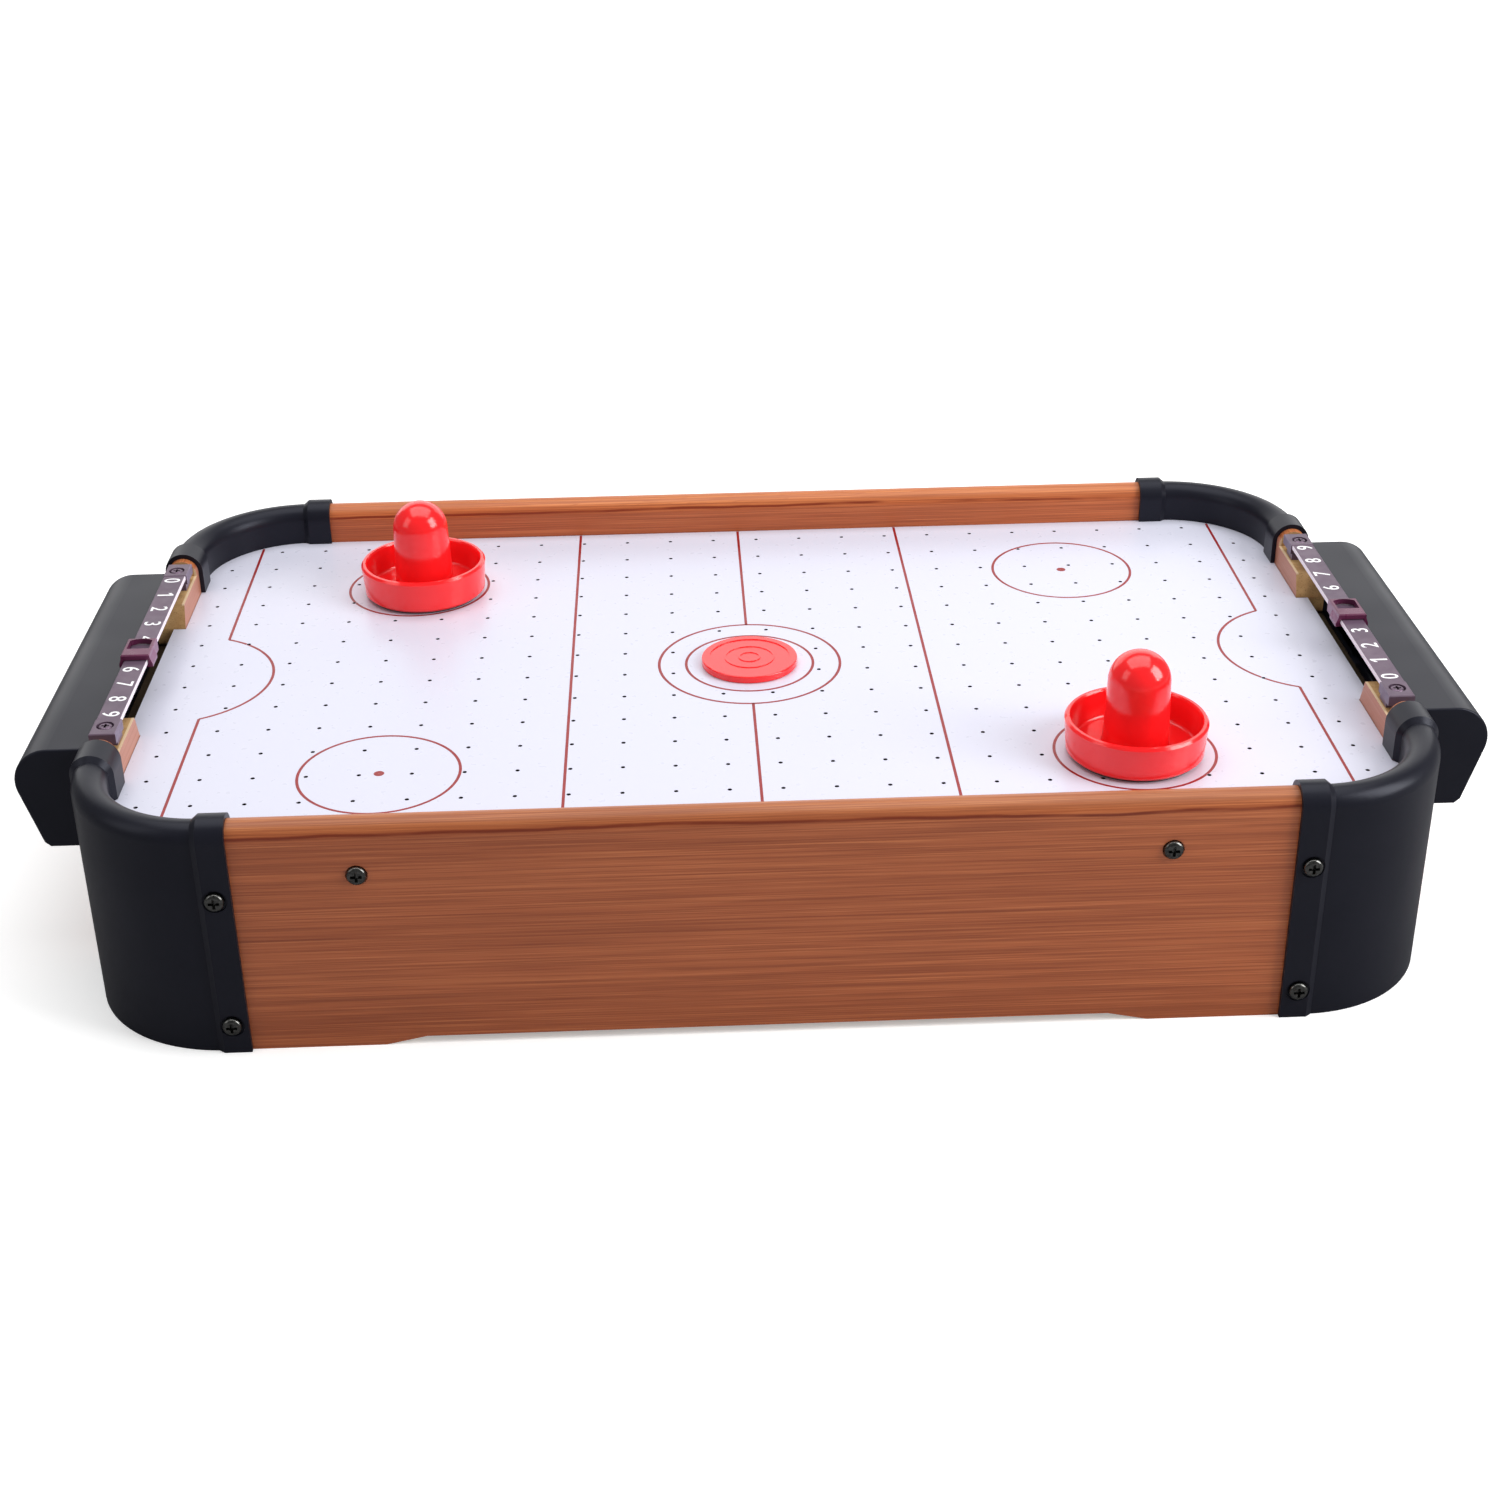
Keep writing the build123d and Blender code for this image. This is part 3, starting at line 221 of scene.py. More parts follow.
def side_foil():
    """Long panels: foil with a darker wavy line and arches near the rounded top, raw lower edge, and painted
    light that brightens the far panel.
    """
    look = Look("wood_foil_long", Specular_IOR_Level=0.42)
    tone, height = grained(look, "x")
    _, y, z = look.xyz()
    # a darker, wavy line follows the start of the rounding on both faces
    wave = look.noise((11, 20, 20), (2, 2, 2), detail=3)
    shift = look.math("MULTIPLY", look.math("SUBTRACT", wave, 0.5), 5.0 * MM)
    level = look.math("ADD", z, shift)
    near = look.math("ABSOLUTE", look.math("SUBTRACT", level, RAIL_TOP - 4.4 * MM))
    strength = look.between(look.noise((20, 60, 60), (8, 1, 3), detail=2), 0.28, 0.5)
    band = look.between(near, 0.9 * MM, 0.2 * MM)
    wavy_dark_line = look.math("MULTIPLY", band, look.math("MULTIPLY", strength, 0.9))
    tone = look.mix(wavy_dark_line, tone, colour(112, 38, 14))
    # broad arches on top of the rail
    arch = look.noise((7, 95, 95), (4, 4, 9), detail=2, twist=1.6)
    rings = look.math("SINE", look.math("MULTIPLY", arch, 46.0))
    on_top = look.between(z, RAIL_TOP - 5 * MM, RAIL_TOP - 2 * MM)
    arches = look.math("MULTIPLY", on_top, look.between(rings, 0.55, 1.0, 0, 0.35))
    tone = look.mix(arches, tone, colour(158, 84, 50))
    # painted light: the far panel is painted brighter and more orange, for the stronger light on its face
    far = look.between(y, 0.0, 1.0 * MM)
    tone = look.mix(far, tone, look.mix(1.0, tone, (1.26, 1.20, 1.10, 1), "MULTIPLY"))
    # raw board on the sawn lower edge
    low = look.between(z, 3.6 * MM, 2.9 * MM)
    sawn = look.math("MULTIPLY", low, look.between(look.math("ABSOLUTE", facing(look)[2]), 0.5, 0.8))
    tone = look.mix(sawn, tone, fibre(look))
    look.base(tone)
    look.rough(look.between(height, 0.5, 1.1, 0.36, 0.46))
    look.bump(height, 0.05 * MM, 0.35)
    return look.material


def end_foil():
    """End panels: foil on both faces and over the top, raw fibreboard where they are cut; painted light on
    the field sides and painted shade on the cut floor of the goal.
    """
    look = Look("wood_foil_end", Specular_IOR_Level=0.42)
    tone, height = grained(look, "y")
    x, _, z = look.xyz()
    tilt_x, tilt_y = [look.math("ABSOLUTE", part) for part in facing(look)[:2]]
    across = look.math("ABSOLUTE", x)
    # painted light: the foil on the faces that look onto the field is painted paler and redder, for the
    # light they get there
    inside = look.between(across, INNER_X + 0.9 * MM, INNER_X + 0.3 * MM)
    tone = look.mix(look.math("MULTIPLY", inside, 0.72), tone, colour(196, 138, 116))
    # painted shade: the cut floor of the goal is painted dark for the shade in the goal, and the edge of the
    # shelf is pale
    raw = fibre(look)
    goal_floor_shade = look.between(z, FIELD - 6.0 * MM, FIELD - 7.5 * MM)
    raw = look.mix(look.math("MULTIPLY", goal_floor_shade, 0.92), raw, colour(46, 36, 24))
    pale = look.math("MULTIPLY", look.between(across, INNER_X + 1.3 * MM, INNER_X + 0.9 * MM),
                     look.between(z, SHELF - 0.8 * MM, SHELF - 0.2 * MM))
    raw = look.mix(look.math("MULTIPLY", pale, 0.8), raw, colour(232, 205, 170))
    cut = look.between(tilt_x, 0.35, 0.25)
    below = look.between(z, SHELF + 1.0 * MM, SHELF + 0.5 * MM)
    sides = look.between(tilt_y, 0.85, 0.95)
    mask = look.math("MULTIPLY", cut, look.math("MAXIMUM", below, sides), clamp=True)
    look.base(look.mix(mask, tone, raw))
    foil_rough = look.between(height, 0.5, 1.1, 0.36, 0.46)
    look.rough(look.math("ADD", foil_rough, look.math("MULTIPLY", mask, 0.45), clamp=True))
    look.bump(height, 0.05 * MM, 0.35)
    return look.material


def white_board():
    """Playing board: bluish white laminate, with painted shade: near black in the drilled holes and over the
    raw board at its edge.
    """
    look = Look("board_laminate", Specular_IOR_Level=0.35)
    x, y, z = look.xyz()
    cloud = look.noise((420, 420, 420), detail=2)
    face = look.ramp(cloud, (0.2, (0.655, 0.659, 0.772, 1)), (0.8, (0.661, 0.665, 0.778, 1)))
    # painted shade: below the top face, the board's edge and underside are painted almost black over the raw
    # board
    edge = look.between(z, FIELD - 0.45 * MM, FIELD - 0.75 * MM)
    # painted shade: the walls of the drilled holes, within the panels, are painted near black
    drilled = look.math("MULTIPLY", look.between(z, FIELD - 0.06 * MM, FIELD - 0.14 * MM),
                        look.between(look.math("ABSOLUTE", facing(look)[2]), 0.6, 0.4))
    inland = 1.0
    for place, reach in zip((x, y), BOARD_REACH):
        inland = look.math("MULTIPLY", inland,
                           look.between(look.math("ABSOLUTE", place), reach + 0.4 * MM, reach))
    body = look.mix(edge, face, look.mix(0.8, fibre(look), colour(40, 30, 22)))
    look.base(look.mix(look.math("MULTIPLY", drilled, inland), body, colour(38, 30, 30)))
    mottle = look.noise((260, 260, 260), (6, 1, 4), detail=2)
    look.rough(look.between(mottle, 0.2, 0.8, 0.272, 0.288))
    return look.material


def moulded(name, dark, light, rough_low, rough_high, grain=0.02, specular=0.3, **fixed):
    """Moulded plastic: a fine leathery surface and slight tone variation."""
    look = Look(name, Specular_IOR_Level=specular, **fixed)
    cloud = look.noise((45, 45, 45), detail=4, rough=0.6)
    look.base(look.ramp(cloud, (0.32, dark), (0.68, light)))
    wear = look.noise((210, 210, 210), (4, 5, 6), detail=3)
    look.rough(look.between(wear, 0.3, 0.7, rough_low, rough_high))
    pebble = look.noise((1900, 1900, 1900), detail=2, rough=0.5)
    look.bump(pebble, grain * MM, 0.5)
    return look.material


def gloss(look, rough_low, rough_high):
    """Gloss that varies a little, and a fine pebbled surface, for the score bars' plastics."""
    wear = look.noise((210, 210, 210), (4, 5, 6), detail=3)
    look.rough(look.between(wear, 0.3, 0.7, rough_low, rough_high))
    look.bump(look.noise((1900, 1900, 1900), detail=2), 0.02 * MM, 0.5)


def black_plastic():
    """Caps and goal boxes: satin black with a faint blue cast."""
    look = Look("black_satin_plastic", Specular_IOR_Level=0.22, Specular_Tint=(0.82, 0.85, 1.0, 1))
    cloud = look.noise((30, 30, 30), detail=2)
    body = look.ramp(cloud, (0.3, (0.0085, 0.0088, 0.0142, 1)), (0.7, (0.0105, 0.0108, 0.0168, 1)))
    look.base(body)
    look.rough(look.between(look.noise((24, 24, 24), (4, 5, 6), detail=2), 0.3, 0.7, 0.33, 0.38))
    look.bump(look.noise((1900, 1900, 1900), detail=2, rough=0.5), 0.006 * MM, 0.4)
    return look.material


def mauve_plastic():
    """Score bars: greyed mauve, with painted light on the sides that face the field: a painted highlight on
    the bar, paler on the end blocks.
    """
    look = Look("mauve_plastic", Specular_IOR_Level=0.4)
    x, y, _ = look.xyz()
    body = look.ramp(look.noise((60, 60, 60), detail=3), (0.32, colour(86, 68, 86)),
                     (0.68, colour(100, 80, 98)))
    field_side_light = look.math("MULTIPLY", look.between(look.math("ABSOLUTE", facing(look)[0]), 0.5, 0.8),
                        look.between(look.math("ABSOLUTE", x), BAR_SIDE_X + 1.0 * MM, BAR_SIDE_X))
    on_bar = look.between(look.math("ABSOLUTE", y), BLOCK_START_Y + 0.2 * MM, BLOCK_START_Y - 0.2 * MM)
    # painted light: the field side of the bar is painted near white as a highlight, the field sides of the
    # end blocks a paler lavender
    side = look.mix(on_bar, colour(122, 108, 130), colour(250, 240, 250))
    look.base(look.mix(field_side_light, body, side))
    gloss(look, 0.36, 0.48)
    return look.material


def plum_plastic():
    """Sliders: deep plum, with painted light making the grip that faces the field paler."""
    look = Look("plum_plastic", Specular_IOR_Level=0.5)
    x = look.xyz()[0]
    body = look.ramp(look.noise((60, 60, 60), detail=3), (0.32, colour(88, 30, 64)),
                     (0.68, colour(104, 40, 76)))
    field_side_light = look.math("MULTIPLY", look.between(look.math("ABSOLUTE", facing(look)[0]), 0.5, 0.8),
                        look.between(look.math("ABSOLUTE", x), SLIDER_SIDE_X + 0.4 * MM, SLIDER_SIDE_X))
    # painted light: the grip facing the field is painted paler
    look.base(look.mix(look.math("MULTIPLY", field_side_light, 0.3), body, colour(190, 150, 185)))
    gloss(look, 0.26, 0.38)
    return look.material


def red_plastic():
    """Mallets and puck: glossy red with a faint painted glow, and painted shade making the red deeper within
    the mallets' cups.
    """
    # painted light: a faint red glow (emission) brightens the plastic, which is no lamp
    look = Look("red_gloss_plastic", Specular_IOR_Level=0.5, Coat_Weight=0.25, Coat_Roughness=0.08,
                Subsurface_Weight=0.25, Subsurface_Scale=2 * MM,
                Emission_Color=(0.95, 0.03, 0.035, 1))
    look.shader.inputs["Subsurface Radius"].default_value = (1.0, 0.12, 0.12)
    cloud = look.noise((60, 60, 60), detail=3)
    shell = look.ramp(cloud, (0.3, colour(243, 27, 31)), (0.7, colour(246, 30, 34)))
    x, y, z = look.xyz()
    # distance to the axis of the nearer mallet
    nearest = 1.0
    for node in ("mallet_left", "mallet_right"):
        low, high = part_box(node)
        middle = (low + high) / 2
        along = look.math("POWER", look.math("SUBTRACT", x, middle.x), 2.0)
        across = look.math("POWER", look.math("SUBTRACT", y, middle.y), 2.0)
        nearest = look.math("MINIMUM", nearest, look.math("SQRT", look.math("ADD", along, across)))
    # painted shade: within the mallets' cups the red is painted deeper
    within = look.between(nearest, CUP_INNER_R + 0.6 * MM, CUP_INNER_R + 0.2 * MM)
    deep = look.math("MULTIPLY", within, look.between(z, CUP_RIM + 4.0 * MM, CUP_RIM - 9.0 * MM))
    look.base(look.mix(deep, shell, colour(232, 23, 27)))
    # painted light and shade: the glow is weaker within the cups
    look.put(look.shader.inputs["Emission Strength"], look.between(deep, 0.0, 1.0, 0.15, 0.03))
    look.rough(look.between(look.noise((30, 30, 30), (7, 7, 7), detail=0), 0.3, 0.7, 0.165, 0.18))
    look.bump(look.noise((1500, 1500, 1500), detail=2), 0.002 * MM, 0.2)
    return look.material


def metal(name, dark, light, rough_low, rough_high):
    """Bare or plated metal with a fine uneven surface."""
    look = Look(name, Metallic=1.0)
    cloud = look.noise((700, 700, 700), detail=4, rough=0.65)
    look.base(look.ramp(cloud, (0.3, dark), (0.7, light)))
    wear = look.noise((1400, 1400, 1400), (2, 2, 2), detail=2)
    look.rough(look.between(wear, 0.3, 0.7, rough_low, rough_high))
    look.bump(look.noise((2600, 2600, 2600), detail=2), 0.02 * MM, 0.5)
    return look.material


def felt():
    """Fuzzy dark pad."""
    look = Look("dark_felt", Specular_IOR_Level=0.15, Sheen_Weight=0.5, Sheen_Roughness=0.6)
    fuzz = look.noise((1600, 1600, 1600), detail=4, rough=0.7, twist=1.2)
    look.base(look.ramp(fuzz, (0.35, colour(34, 34, 36)), (0.7, colour(82, 82, 84))))
    look.rough(0.95)
    look.bump(fuzz, 0.25 * MM, 0.8)
    return look.material


def raw_board():
    """Unfaced fibreboard of the air chamber."""
    look = Look("raw_fibreboard", Specular_IOR_Level=0.2)
    look.base(fibre(look))
    fuzz = look.noise((900, 900, 900), detail=3)
    look.rough(look.between(fuzz, 0.3, 0.7, 0.75, 0.9))
    look.bump(fuzz, 0.08 * MM, 0.5)
    return look.material


def cell_sleeve():
    """Four cells: plain dark sleeve with a grey band, bare steel at the tips; no lettering."""
    look = Look("cell_sleeve", Specular_IOR_Level=0.5, Metallic=0.6)
    across = look.math("ABSOLUTE", look.xyz()[1])
    body = look.ramp(look.noise((120, 30, 120), detail=2), (0.3, colour(40, 66, 52)),
                     (0.7, colour(52, 82, 64)))
    band = look.between(across, 15.4 * MM, 15.6 * MM)
    tips = look.between(across, 23.2 * MM, 23.4 * MM)
    shade = look.mix(band, body, colour(128, 132, 136))
    look.base(look.mix(tips, shade, colour(190, 190, 186)))
    look.rough(look.between(look.noise((400, 400, 400), detail=2), 0.3, 0.7, 0.25, 0.4))
    return look.material


LOOKS = {
    "side": side_foil(),
    "end": end_foil(),
    "board": white_board(),
    "black": black_plastic(),
    "mauve": mauve_plastic(),
    "plum": plum_plastic(),
    "red": red_plastic(),
    "felt": felt(),
    "dark_steel": metal("blackened_steel", colour(70, 70, 69), colour(122, 122, 119), 0.16, 0.3),
    "zinc": metal("zinc_steel", colour(168, 168, 162), colour(206, 206, 200), 0.25, 0.42),
    "mauve_screw": metal("mauve_screw_steel", colour(98, 82, 98), colour(128, 108, 126), 0.3, 0.5),
    "raw": raw_board(),
    "grey": moulded("grey_textured_plastic", (0.018, 0.018, 0.019, 1), (0.03, 0.03, 0.031, 1),
                    0.45, 0.62, 0.05, 0.4),
    "pale": moulded("pale_fan_plastic", colour(196, 196, 188), colour(214, 214, 206), 0.35, 0.5, 0.02, 0.5),
    "motor": metal("motor_can_steel", colour(150, 150, 150), colour(190, 190, 188), 0.3, 0.45),
    "cells": cell_sleeve(),
    "switch": moulded("switch_plastic", (0.02, 0.02, 0.02, 1), (0.032, 0.032, 0.032, 1),
                      0.3, 0.45, 0.02, 0.45),
    "red_wire": moulded("red_wire_insulation", colour(150, 14, 14), colour(178, 22, 20),
                        0.35, 0.5, 0.02, 0.45),
    "black_wire": moulded("black_wire_insulation", (0.012, 0.012, 0.012, 1), (0.022, 0.022, 0.022, 1),
                          0.35, 0.5, 0.02, 0.45),
}

# the first entry that a node's name starts with gives its look
LOOK_OF = {
    "side_panel": "side", "end_panel": "end", "playing_board": "board", "corner_cap_screws": "dark_steel",
    "corner_cap": "black", "goal_box_screws": "zinc", "goal_box": "black", "score_bar_screws": "mauve_screw",
    "score_bar": "mauve", "score_slider": "plum", "mallet_felt": "felt", "mallet": "red", "puck": "red",
    "panel_screws": "dark_steel", "air_chamber_screws": "zinc", "air_chamber": "raw", "fan_screws": "zinc",
    "fan_shaft": "zinc", "fan_motor": "motor", "fan_impeller": "pale", "fan_": "grey",
    "battery_contacts": "zinc", "battery_box_screws": "zinc", "battery_": "grey", "batteries": "cells",
    "switch_": "switch", "wire_black": "black_wire", "wire_red": "red_wire",
}
for name, thing in NODES.items():
    key = next(start for start in LOOK_OF if name.startswith(start))
    thing.data.materials.clear()
    thing.data.materials.append(LOOKS[LOOK_OF[key]])

# ---------------------------------------------------------------- court print
PRINT_TOP = FIELD + 0.03 * MM
PRINT_DEEP = 0.06 * MM
LINE = 1.15 * MM
print_look = Look("court_print_red", Specular_IOR_Level=0.35)
print_look.base(print_look.ramp(print_look.noise((300, 300, 300), detail=3), (0.3, colour(142, 25, 27)),
                                (0.7, colour(154, 33, 33))))
print_look.rough(print_look.between(print_look.noise((500, 500, 500), detail=2), 0.3, 0.7, 0.28, 0.4))

# square grid of the drilled air holes; its pattern lies slightly off the centre
HOLE_PITCH = 20.0 * MM
HOLE_SHIFT = Vector((-1.7 * MM, 2.0 * MM))
HOLE_CLEAR = 0.95 * MM


def over_hole(x, y):
    """True where a point of the print lies over one of the drilled air holes."""
    dx = (x - HOLE_SHIFT.x) / HOLE_PITCH - 0.5
    dy = (y - HOLE_SHIFT.y) / HOLE_PITCH - 0.5
    dx = (dx - round(dx)) * HOLE_PITCH
    dy = (dy - round(dy)) * HOLE_PITCH
    return math.hypot(dx, dy) < HOLE_CLEAR


def printed(name, spot, steps_u, steps_v, closed=False):
    """A thin closed film on the board from a grid of points; cells over air holes are left out."""
    mesh = bmesh.new()
    columns = steps_u if closed else steps_u + 1
    grid = [[mesh.verts.new((*spot(i / steps_u, j / steps_v), PRINT_TOP)) for j in range(steps_v + 1)]
            for i in range(columns)]
    for i in range(steps_u):
        for j in range(steps_v):
            following = (i + 1) % columns
            ring = [grid[i][j], grid[following][j], grid[following][j + 1], grid[i][j + 1]]
            middle = sum((v.co for v in ring), Vector()) / 4
            if not over_hole(middle.x, middle.y):
                mesh.faces.new(ring)
    bmesh.ops.delete(mesh, geom=[v for v in mesh.verts if not v.link_faces], context="VERTS")
    bmesh.ops.recalc_face_normals(mesh, faces=mesh.faces)
    if mesh.faces[:][0].normal.z < 0:
        bmesh.ops.reverse_faces(mesh, faces=mesh.faces)
    lower = bmesh.ops.extrude_face_region(mesh, geom=mesh.faces[:])
    for item in lower["geom"]:
        if isinstance(item, bmesh.types.BMVert):
            item.co.z -= PRINT_DEEP
    bmesh.ops.recalc_face_normals(mesh, faces=mesh.faces)
    data = bpy.data.meshes.new(name)
    mesh.to_mesh(data)
    mesh.free()
    thing = bpy.data.objects.new(name, data)
    bpy.context.scene.collection.objects.link(thing)
    data.materials.append(print_look.material)
    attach(thing, "table")
    return thing


def ring_line(name, x, y, radius, start=0.0, turn=2 * math.pi):
    steps = max(24, int(radius * abs(turn) / (0.35 * MM)))

    def spot(u, v):
        angle = start + turn * u
        r = radius + (v - 0.5) * LINE
        return (x + r * math.cos(angle), y + r * math.sin(angle))

    return printed(name, spot, steps, 4, closed=abs(turn) > 6.28)


def cross_line(name, x, y0, y1):
    steps = max(8, int(abs(y1 - y0) / (0.6 * MM)))
    return printed(name, lambda u, v: (x + (v - 0.5) * LINE, y0 + (y1 - y0) * u), steps, 3)


def spot_mark(name, x, y, radius):
    def spot(u, v):
        angle = 2 * math.pi * u
        r = radius * (0.06 + 0.94 * v)
        return (x + r * math.cos(angle), y + r * math.sin(angle))

    return printed(name, spot, 48, 4, closed=True)


EDGE_Y = INNER_Y - 0.5 * MM
CIRCLE_BIG = 37.5 * MM
CIRCLE_SMALL = 26.3 * MM
ZONE_X = 73.6 * MM
GOAL_LINE_X = 220.8 * MM
CREASE_Y = 37.0 * MM
CREASE_R = 40.7 * MM
CREASE_X = 237.7 * MM
FACE_OFF = (144.2 * MM, 87.2 * MM)
FACE_OFF_R = 30.75 * MM
DOT_R = 2.0 * MM
CORNER = (200 * MM, 101 * MM)            # centre and radius of the board's rounded corners
CORNER_R = 41.4 * MM

ring_line("print_centre_circle", 0, 0, CIRCLE_BIG)
ring_line("print_centre_ring", 0, 0, CIRCLE_SMALL)
cross_line("print_centre_line_back", 0, CIRCLE_BIG, EDGE_Y)
cross_line("print_centre_line_front", 0, -EDGE_Y, -CIRCLE_BIG)
for side, word in ((-1, "left"), (1, "right")):
    cross_line("print_zone_line_" + word, side * ZONE_X, -EDGE_Y, EDGE_Y)
    # the goal line stops at the rounded corner of the board
    corner_y = CORNER[1] + math.sqrt(CORNER_R ** 2 - (GOAL_LINE_X - CORNER[0]) ** 2) - 0.6 * MM
    cross_line(f"print_goal_line_{word}_back", side * GOAL_LINE_X, CREASE_Y, corner_y)
    cross_line(f"print_goal_line_{word}_front", side * GOAL_LINE_X, -corner_y, -CREASE_Y)
    half = math.asin(CREASE_Y / CREASE_R)
    middle = math.pi if side > 0 else 0.0
    ring_line("print_crease_" + word, side * CREASE_X, 0, CREASE_R, middle - half, 2 * half)
    for far, place in ((1, "back"), (-1, "front")):
        ring_line(f"print_circle_{place}_{word}", side * FACE_OFF[0], far * FACE_OFF[1], FACE_OFF_R)
        spot_mark(f"print_dot_{place}_{word}", side * FACE_OFF[0], far * FACE_OFF[1], DOT_R)

# ---------------------------------------------------------------- numerals on the score bars
DIGIT_HIGH = 6.8 * MM
DIGIT_X = 247.7 * MM
BAR_FACE = SCORE_TOP - 0.25 * MM
FIGURE_DEEP = 0.07 * MM
digit_look = Look("numeral_white", Specular_IOR_Level=0.4)
digit_look.base(digit_look.ramp(digit_look.noise((900, 900, 900), detail=3), (0.3, (0.86, 0.86, 0.88, 1)),
                                (0.6, (0.97, 0.97, 0.98, 1))))
digit_look.rough(digit_look.between(digit_look.noise((700, 700, 700), detail=2), 0.3, 0.7, 0.35, 0.5))
# where each figure from 0 to 9 stands along its bar, in millimetres
DIGIT_Y = {
    "left": (63.6, 48.8, 34.0, 19.2, 4.6, -10.4, -24.4, -37.6, -50.6, -63.6),
    "right": (-63.2, -49.0, -35.0, -20.8, -6.6, 7.6, 22.0, 36.8, 51.2, 65.4),
}


def figure_one():
    """Thin mesh of a one with a flag: outline points on a unit height, given thickness."""
    outline = [(0.36, 0.0), (0.54, 0.0), (0.54, 1.0), (0.40, 1.0), (0.13, 0.80), (0.13, 0.63), (0.36, 0.77)]
    mesh = bmesh.new()
    face = mesh.faces.new([mesh.verts.new((x, y, 0)) for x, y in outline])
    raised = bmesh.ops.extrude_face_region(mesh, geom=[face])
    for item in raised["geom"]:
        if isinstance(item, bmesh.types.BMVert):
            item.co.z += 0.02
    bmesh.ops.recalc_face_normals(mesh, faces=mesh.faces)
    data = bpy.data.meshes.new("figure_one")
    mesh.to_mesh(data)
    mesh.free()
    return data


def written(figure):
    """Mesh of one figure in the bold built-in face."""
    text = bpy.data.curves.new("figure", "FONT")
    text.body = figure
    text.offset = 0.006
    text.extrude = 0.01
    text.resolution_u = 6
    thing = bpy.data.objects.new("figure", text)
    bpy.context.scene.collection.objects.link(thing)
    bpy.context.view_layer.update()
    mesh = bpy.data.meshes.new_from_object(thing.evaluated_get(bpy.context.evaluated_depsgraph_get()))
    bpy.data.objects.remove(thing)
    bpy.data.curves.remove(text)
    return mesh


def numeral(figure):
    """Flat mesh of one bold figure, upright in XY, centred, DIGIT_HIGH tall."""
    mesh = figure_one() if figure == "1" else written(figure)
    low = Vector([min(v.co[k] for v in mesh.vertices) for k in range(3)])
    high = Vector([max(v.co[k] for v in mesh.vertices) for k in range(3)])
    scale = DIGIT_HIGH / (high.y - low.y)
    mesh.transform(Matrix.Translation(-(low + high) / 2))
    mesh.transform(Matrix.Diagonal((scale * 0.98, scale, FIGURE_DEEP / (high.z - low.z), 1)))
    return mesh


for side, word in ((-1, "left"), (1, "right")):
    for figure, y in enumerate(DIGIT_Y[word]):
        shape = numeral(str(figure))
        # tops point towards the field
        turn = -math.pi / 2 if side < 0 else math.pi / 2
        shape.transform(Matrix.Rotation(turn, 4, "Z"))
        shape.transform(Matrix.Translation((side * DIGIT_X, y * MM, BAR_FACE)))
        thing = bpy.data.objects.new(f"numeral_{word}_{figure}", shape)
        bpy.context.scene.collection.objects.link(thing)
        shape.materials.clear()
        shape.materials.append(digit_look.material)
        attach(thing, "table")

# ---------------------------------------------------------------- camera, light and stage
CAMERA_PLACE = (-0.0287, -0.8423, 0.4843)
CAMERA_TURN = (61.984, 0.717, -2.310)    # degrees
camera_data = bpy.data.cameras.new("camera")
camera_data.lens = 54.05
camera_data.sensor_width = 36.0
camera = bpy.data.objects.new("camera", camera_data)
bpy.context.scene.collection.objects.link(camera)
camera.location = CAMERA_PLACE
camera.rotation_euler = [math.radians(a) for a in CAMERA_TURN]
bpy.context.scene.camera = camera


def softbox(name, place, target, width, height, watts):
    """Soft rectangular light that the camera doesn't see."""
    data = bpy.data.lights.new(name, "AREA")
    data.shape = "RECTANGLE"
    data.size = width
    data.size_y = height
    data.energy = watts
    thing = bpy.data.objects.new(name, data)
    bpy.context.scene.collection.objects.link(thing)
    thing.location = place
    thing.rotation_euler = (Vector(target) - Vector(place)).to_track_quat("-Z", "Y").to_euler()
    thing.visible_camera = False
    return thing


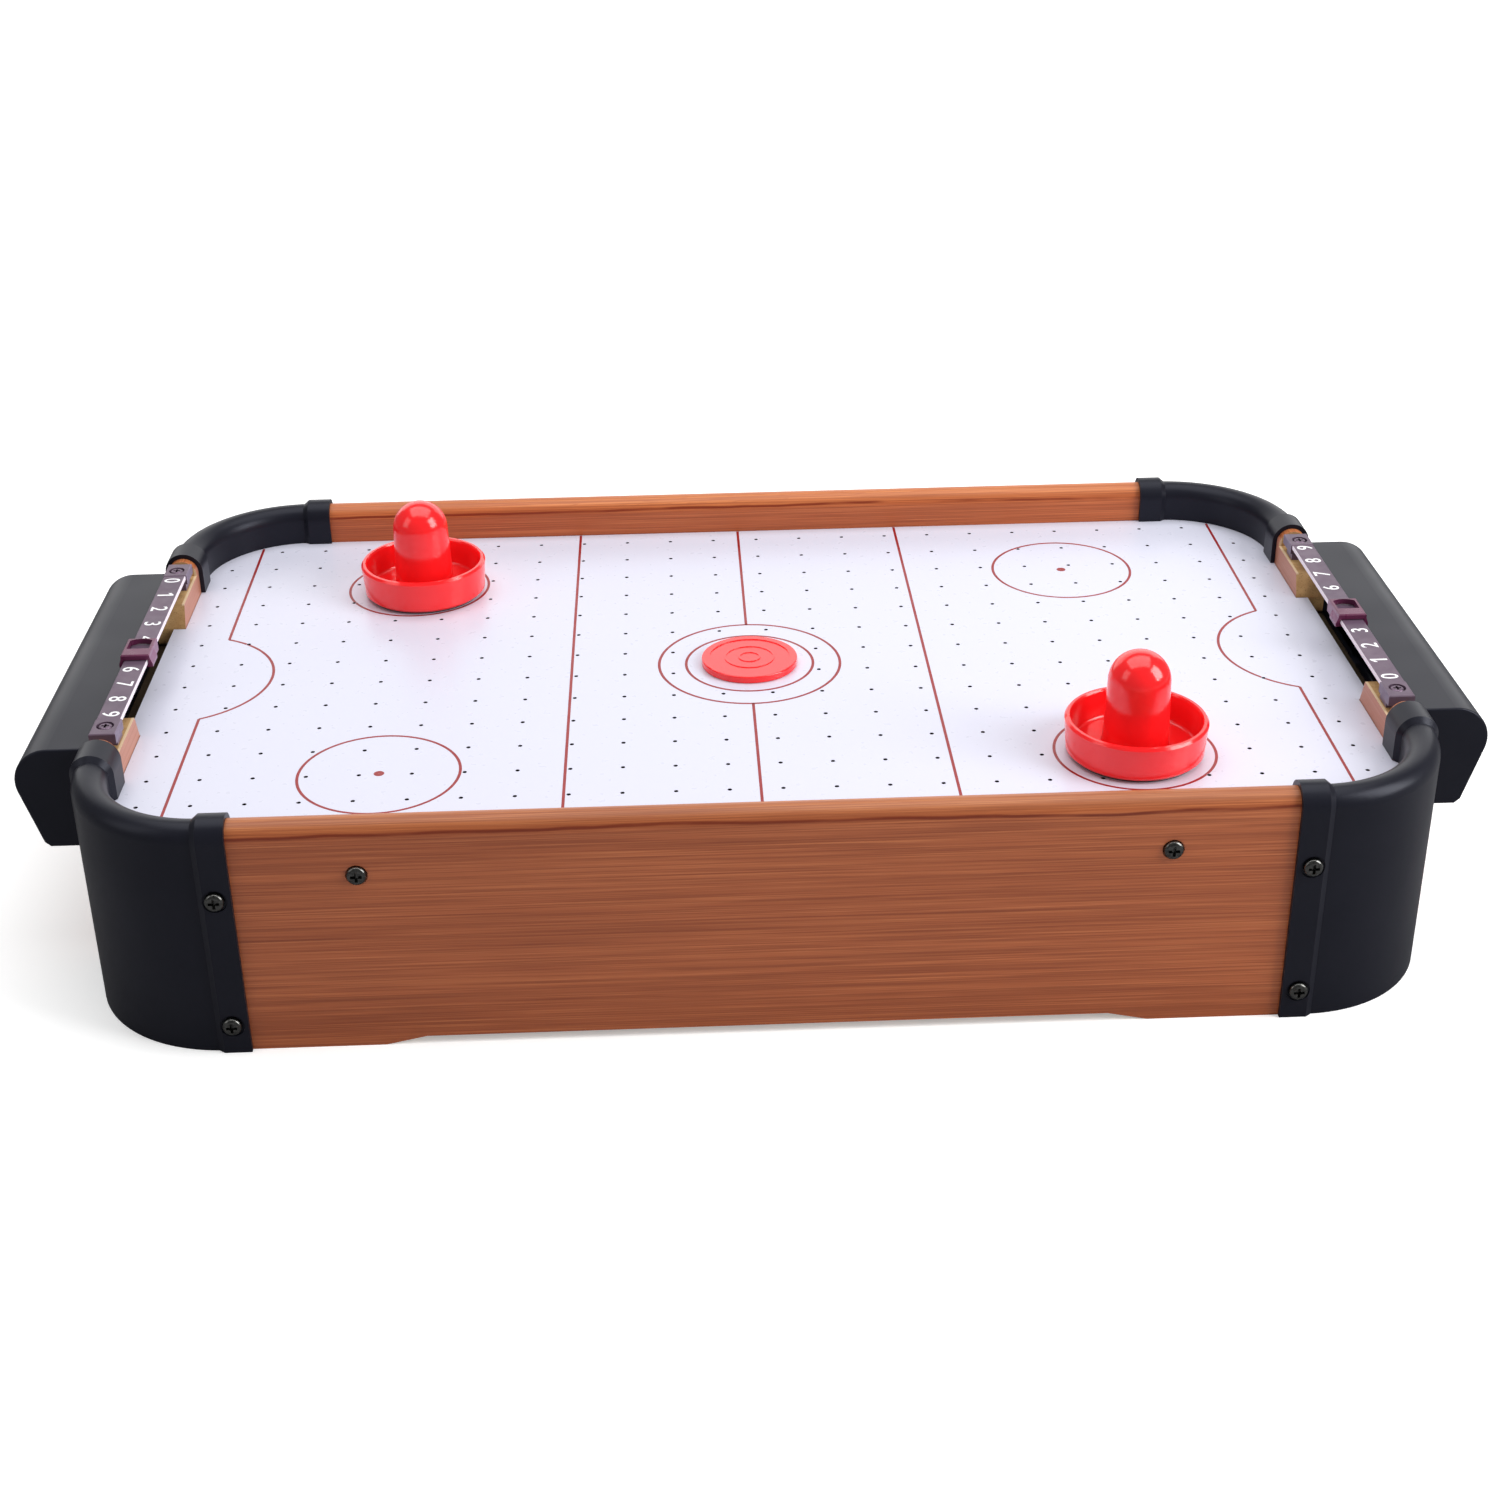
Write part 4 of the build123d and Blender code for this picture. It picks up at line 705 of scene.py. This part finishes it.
softbox("light_overhead", (0, 0.25, 1.8), (0, 0, 0.05), 2.2, 1.6, 27)
softbox("light_wall", (0, 2.6, 1.0), (0, 0, 0.3), 5.0, 2.0, 40)
softbox("light_left", (-1.45, -0.55, 0.95), (0, 0, 0.08), 0.7, 1.0, 3.5)
softbox("light_right", (1.45, -0.55, 0.95), (0, 0, 0.08), 0.9, 1.2, 26)

WORLD_LIGHT = 0.18                       # strength as a light, and as the background that is seen
WORLD_SEEN = 1.0
world = bpy.data.worlds.new("studio")
world.use_nodes = True
backdrop = world.node_tree.nodes["Background"]
backdrop.inputs["Color"].default_value = (1, 1, 1, 1)
seen = world.node_tree.nodes.new("ShaderNodeLightPath")
level = world.node_tree.nodes.new("ShaderNodeMapRange")
level.inputs["To Min"].default_value = WORLD_LIGHT
level.inputs["To Max"].default_value = WORLD_SEEN
world.node_tree.links.new(seen.outputs["Is Camera Ray"], level.inputs["Value"])
world.node_tree.links.new(level.outputs["Result"], backdrop.inputs["Strength"])
bpy.context.scene.world = world
bpy.context.scene.view_settings.view_transform = "Standard"

floor_look = Look("floor_paper", Specular_IOR_Level=0.1, Emission_Color=(1, 1, 1, 1))
paper = floor_look.ramp(floor_look.noise((3, 3, 3), detail=2), (0.3, (0.93, 0.93, 0.93, 1)),
                        (0.7, (0.95, 0.95, 0.95, 1)))
# the paper looks fully lit to the camera, and dull in the gloss of the plastic
PAPER_LIFT = 0.34
ray = floor_look.node("LightPath").outputs
lift = floor_look.math("MULTIPLY", ray["Is Camera Ray"], PAPER_LIFT)
floor_look.put(floor_look.shader.inputs["Emission Strength"], lift)
depth = floor_look.between(floor_look.xyz()[1], -0.4, 0.15, 0.22, 0.26)
# what the plastic reflects is a little paler behind the table than in front of it
mirrored = floor_look.mix(depth, (0, 0, 0, 1), (1.0, 1.0, 1.03, 1))
floor_look.base(floor_look.mix(ray["Is Glossy Ray"], paper, mirrored))
floor_look.rough(0.9)
FLOOR_REACH = 9.0
floor_mesh = bpy.data.meshes.new("floor")
corners = [(x * FLOOR_REACH, y * FLOOR_REACH, 0) for x, y in ((-1, -1), (1, -1), (1, 1), (-1, 1))]
floor_mesh.from_pydata(corners, [], [(0, 1, 2, 3)])
floor_mesh.materials.append(floor_look.material)
floor = bpy.data.objects.new("floor", floor_mesh)
bpy.context.scene.collection.objects.link(floor)
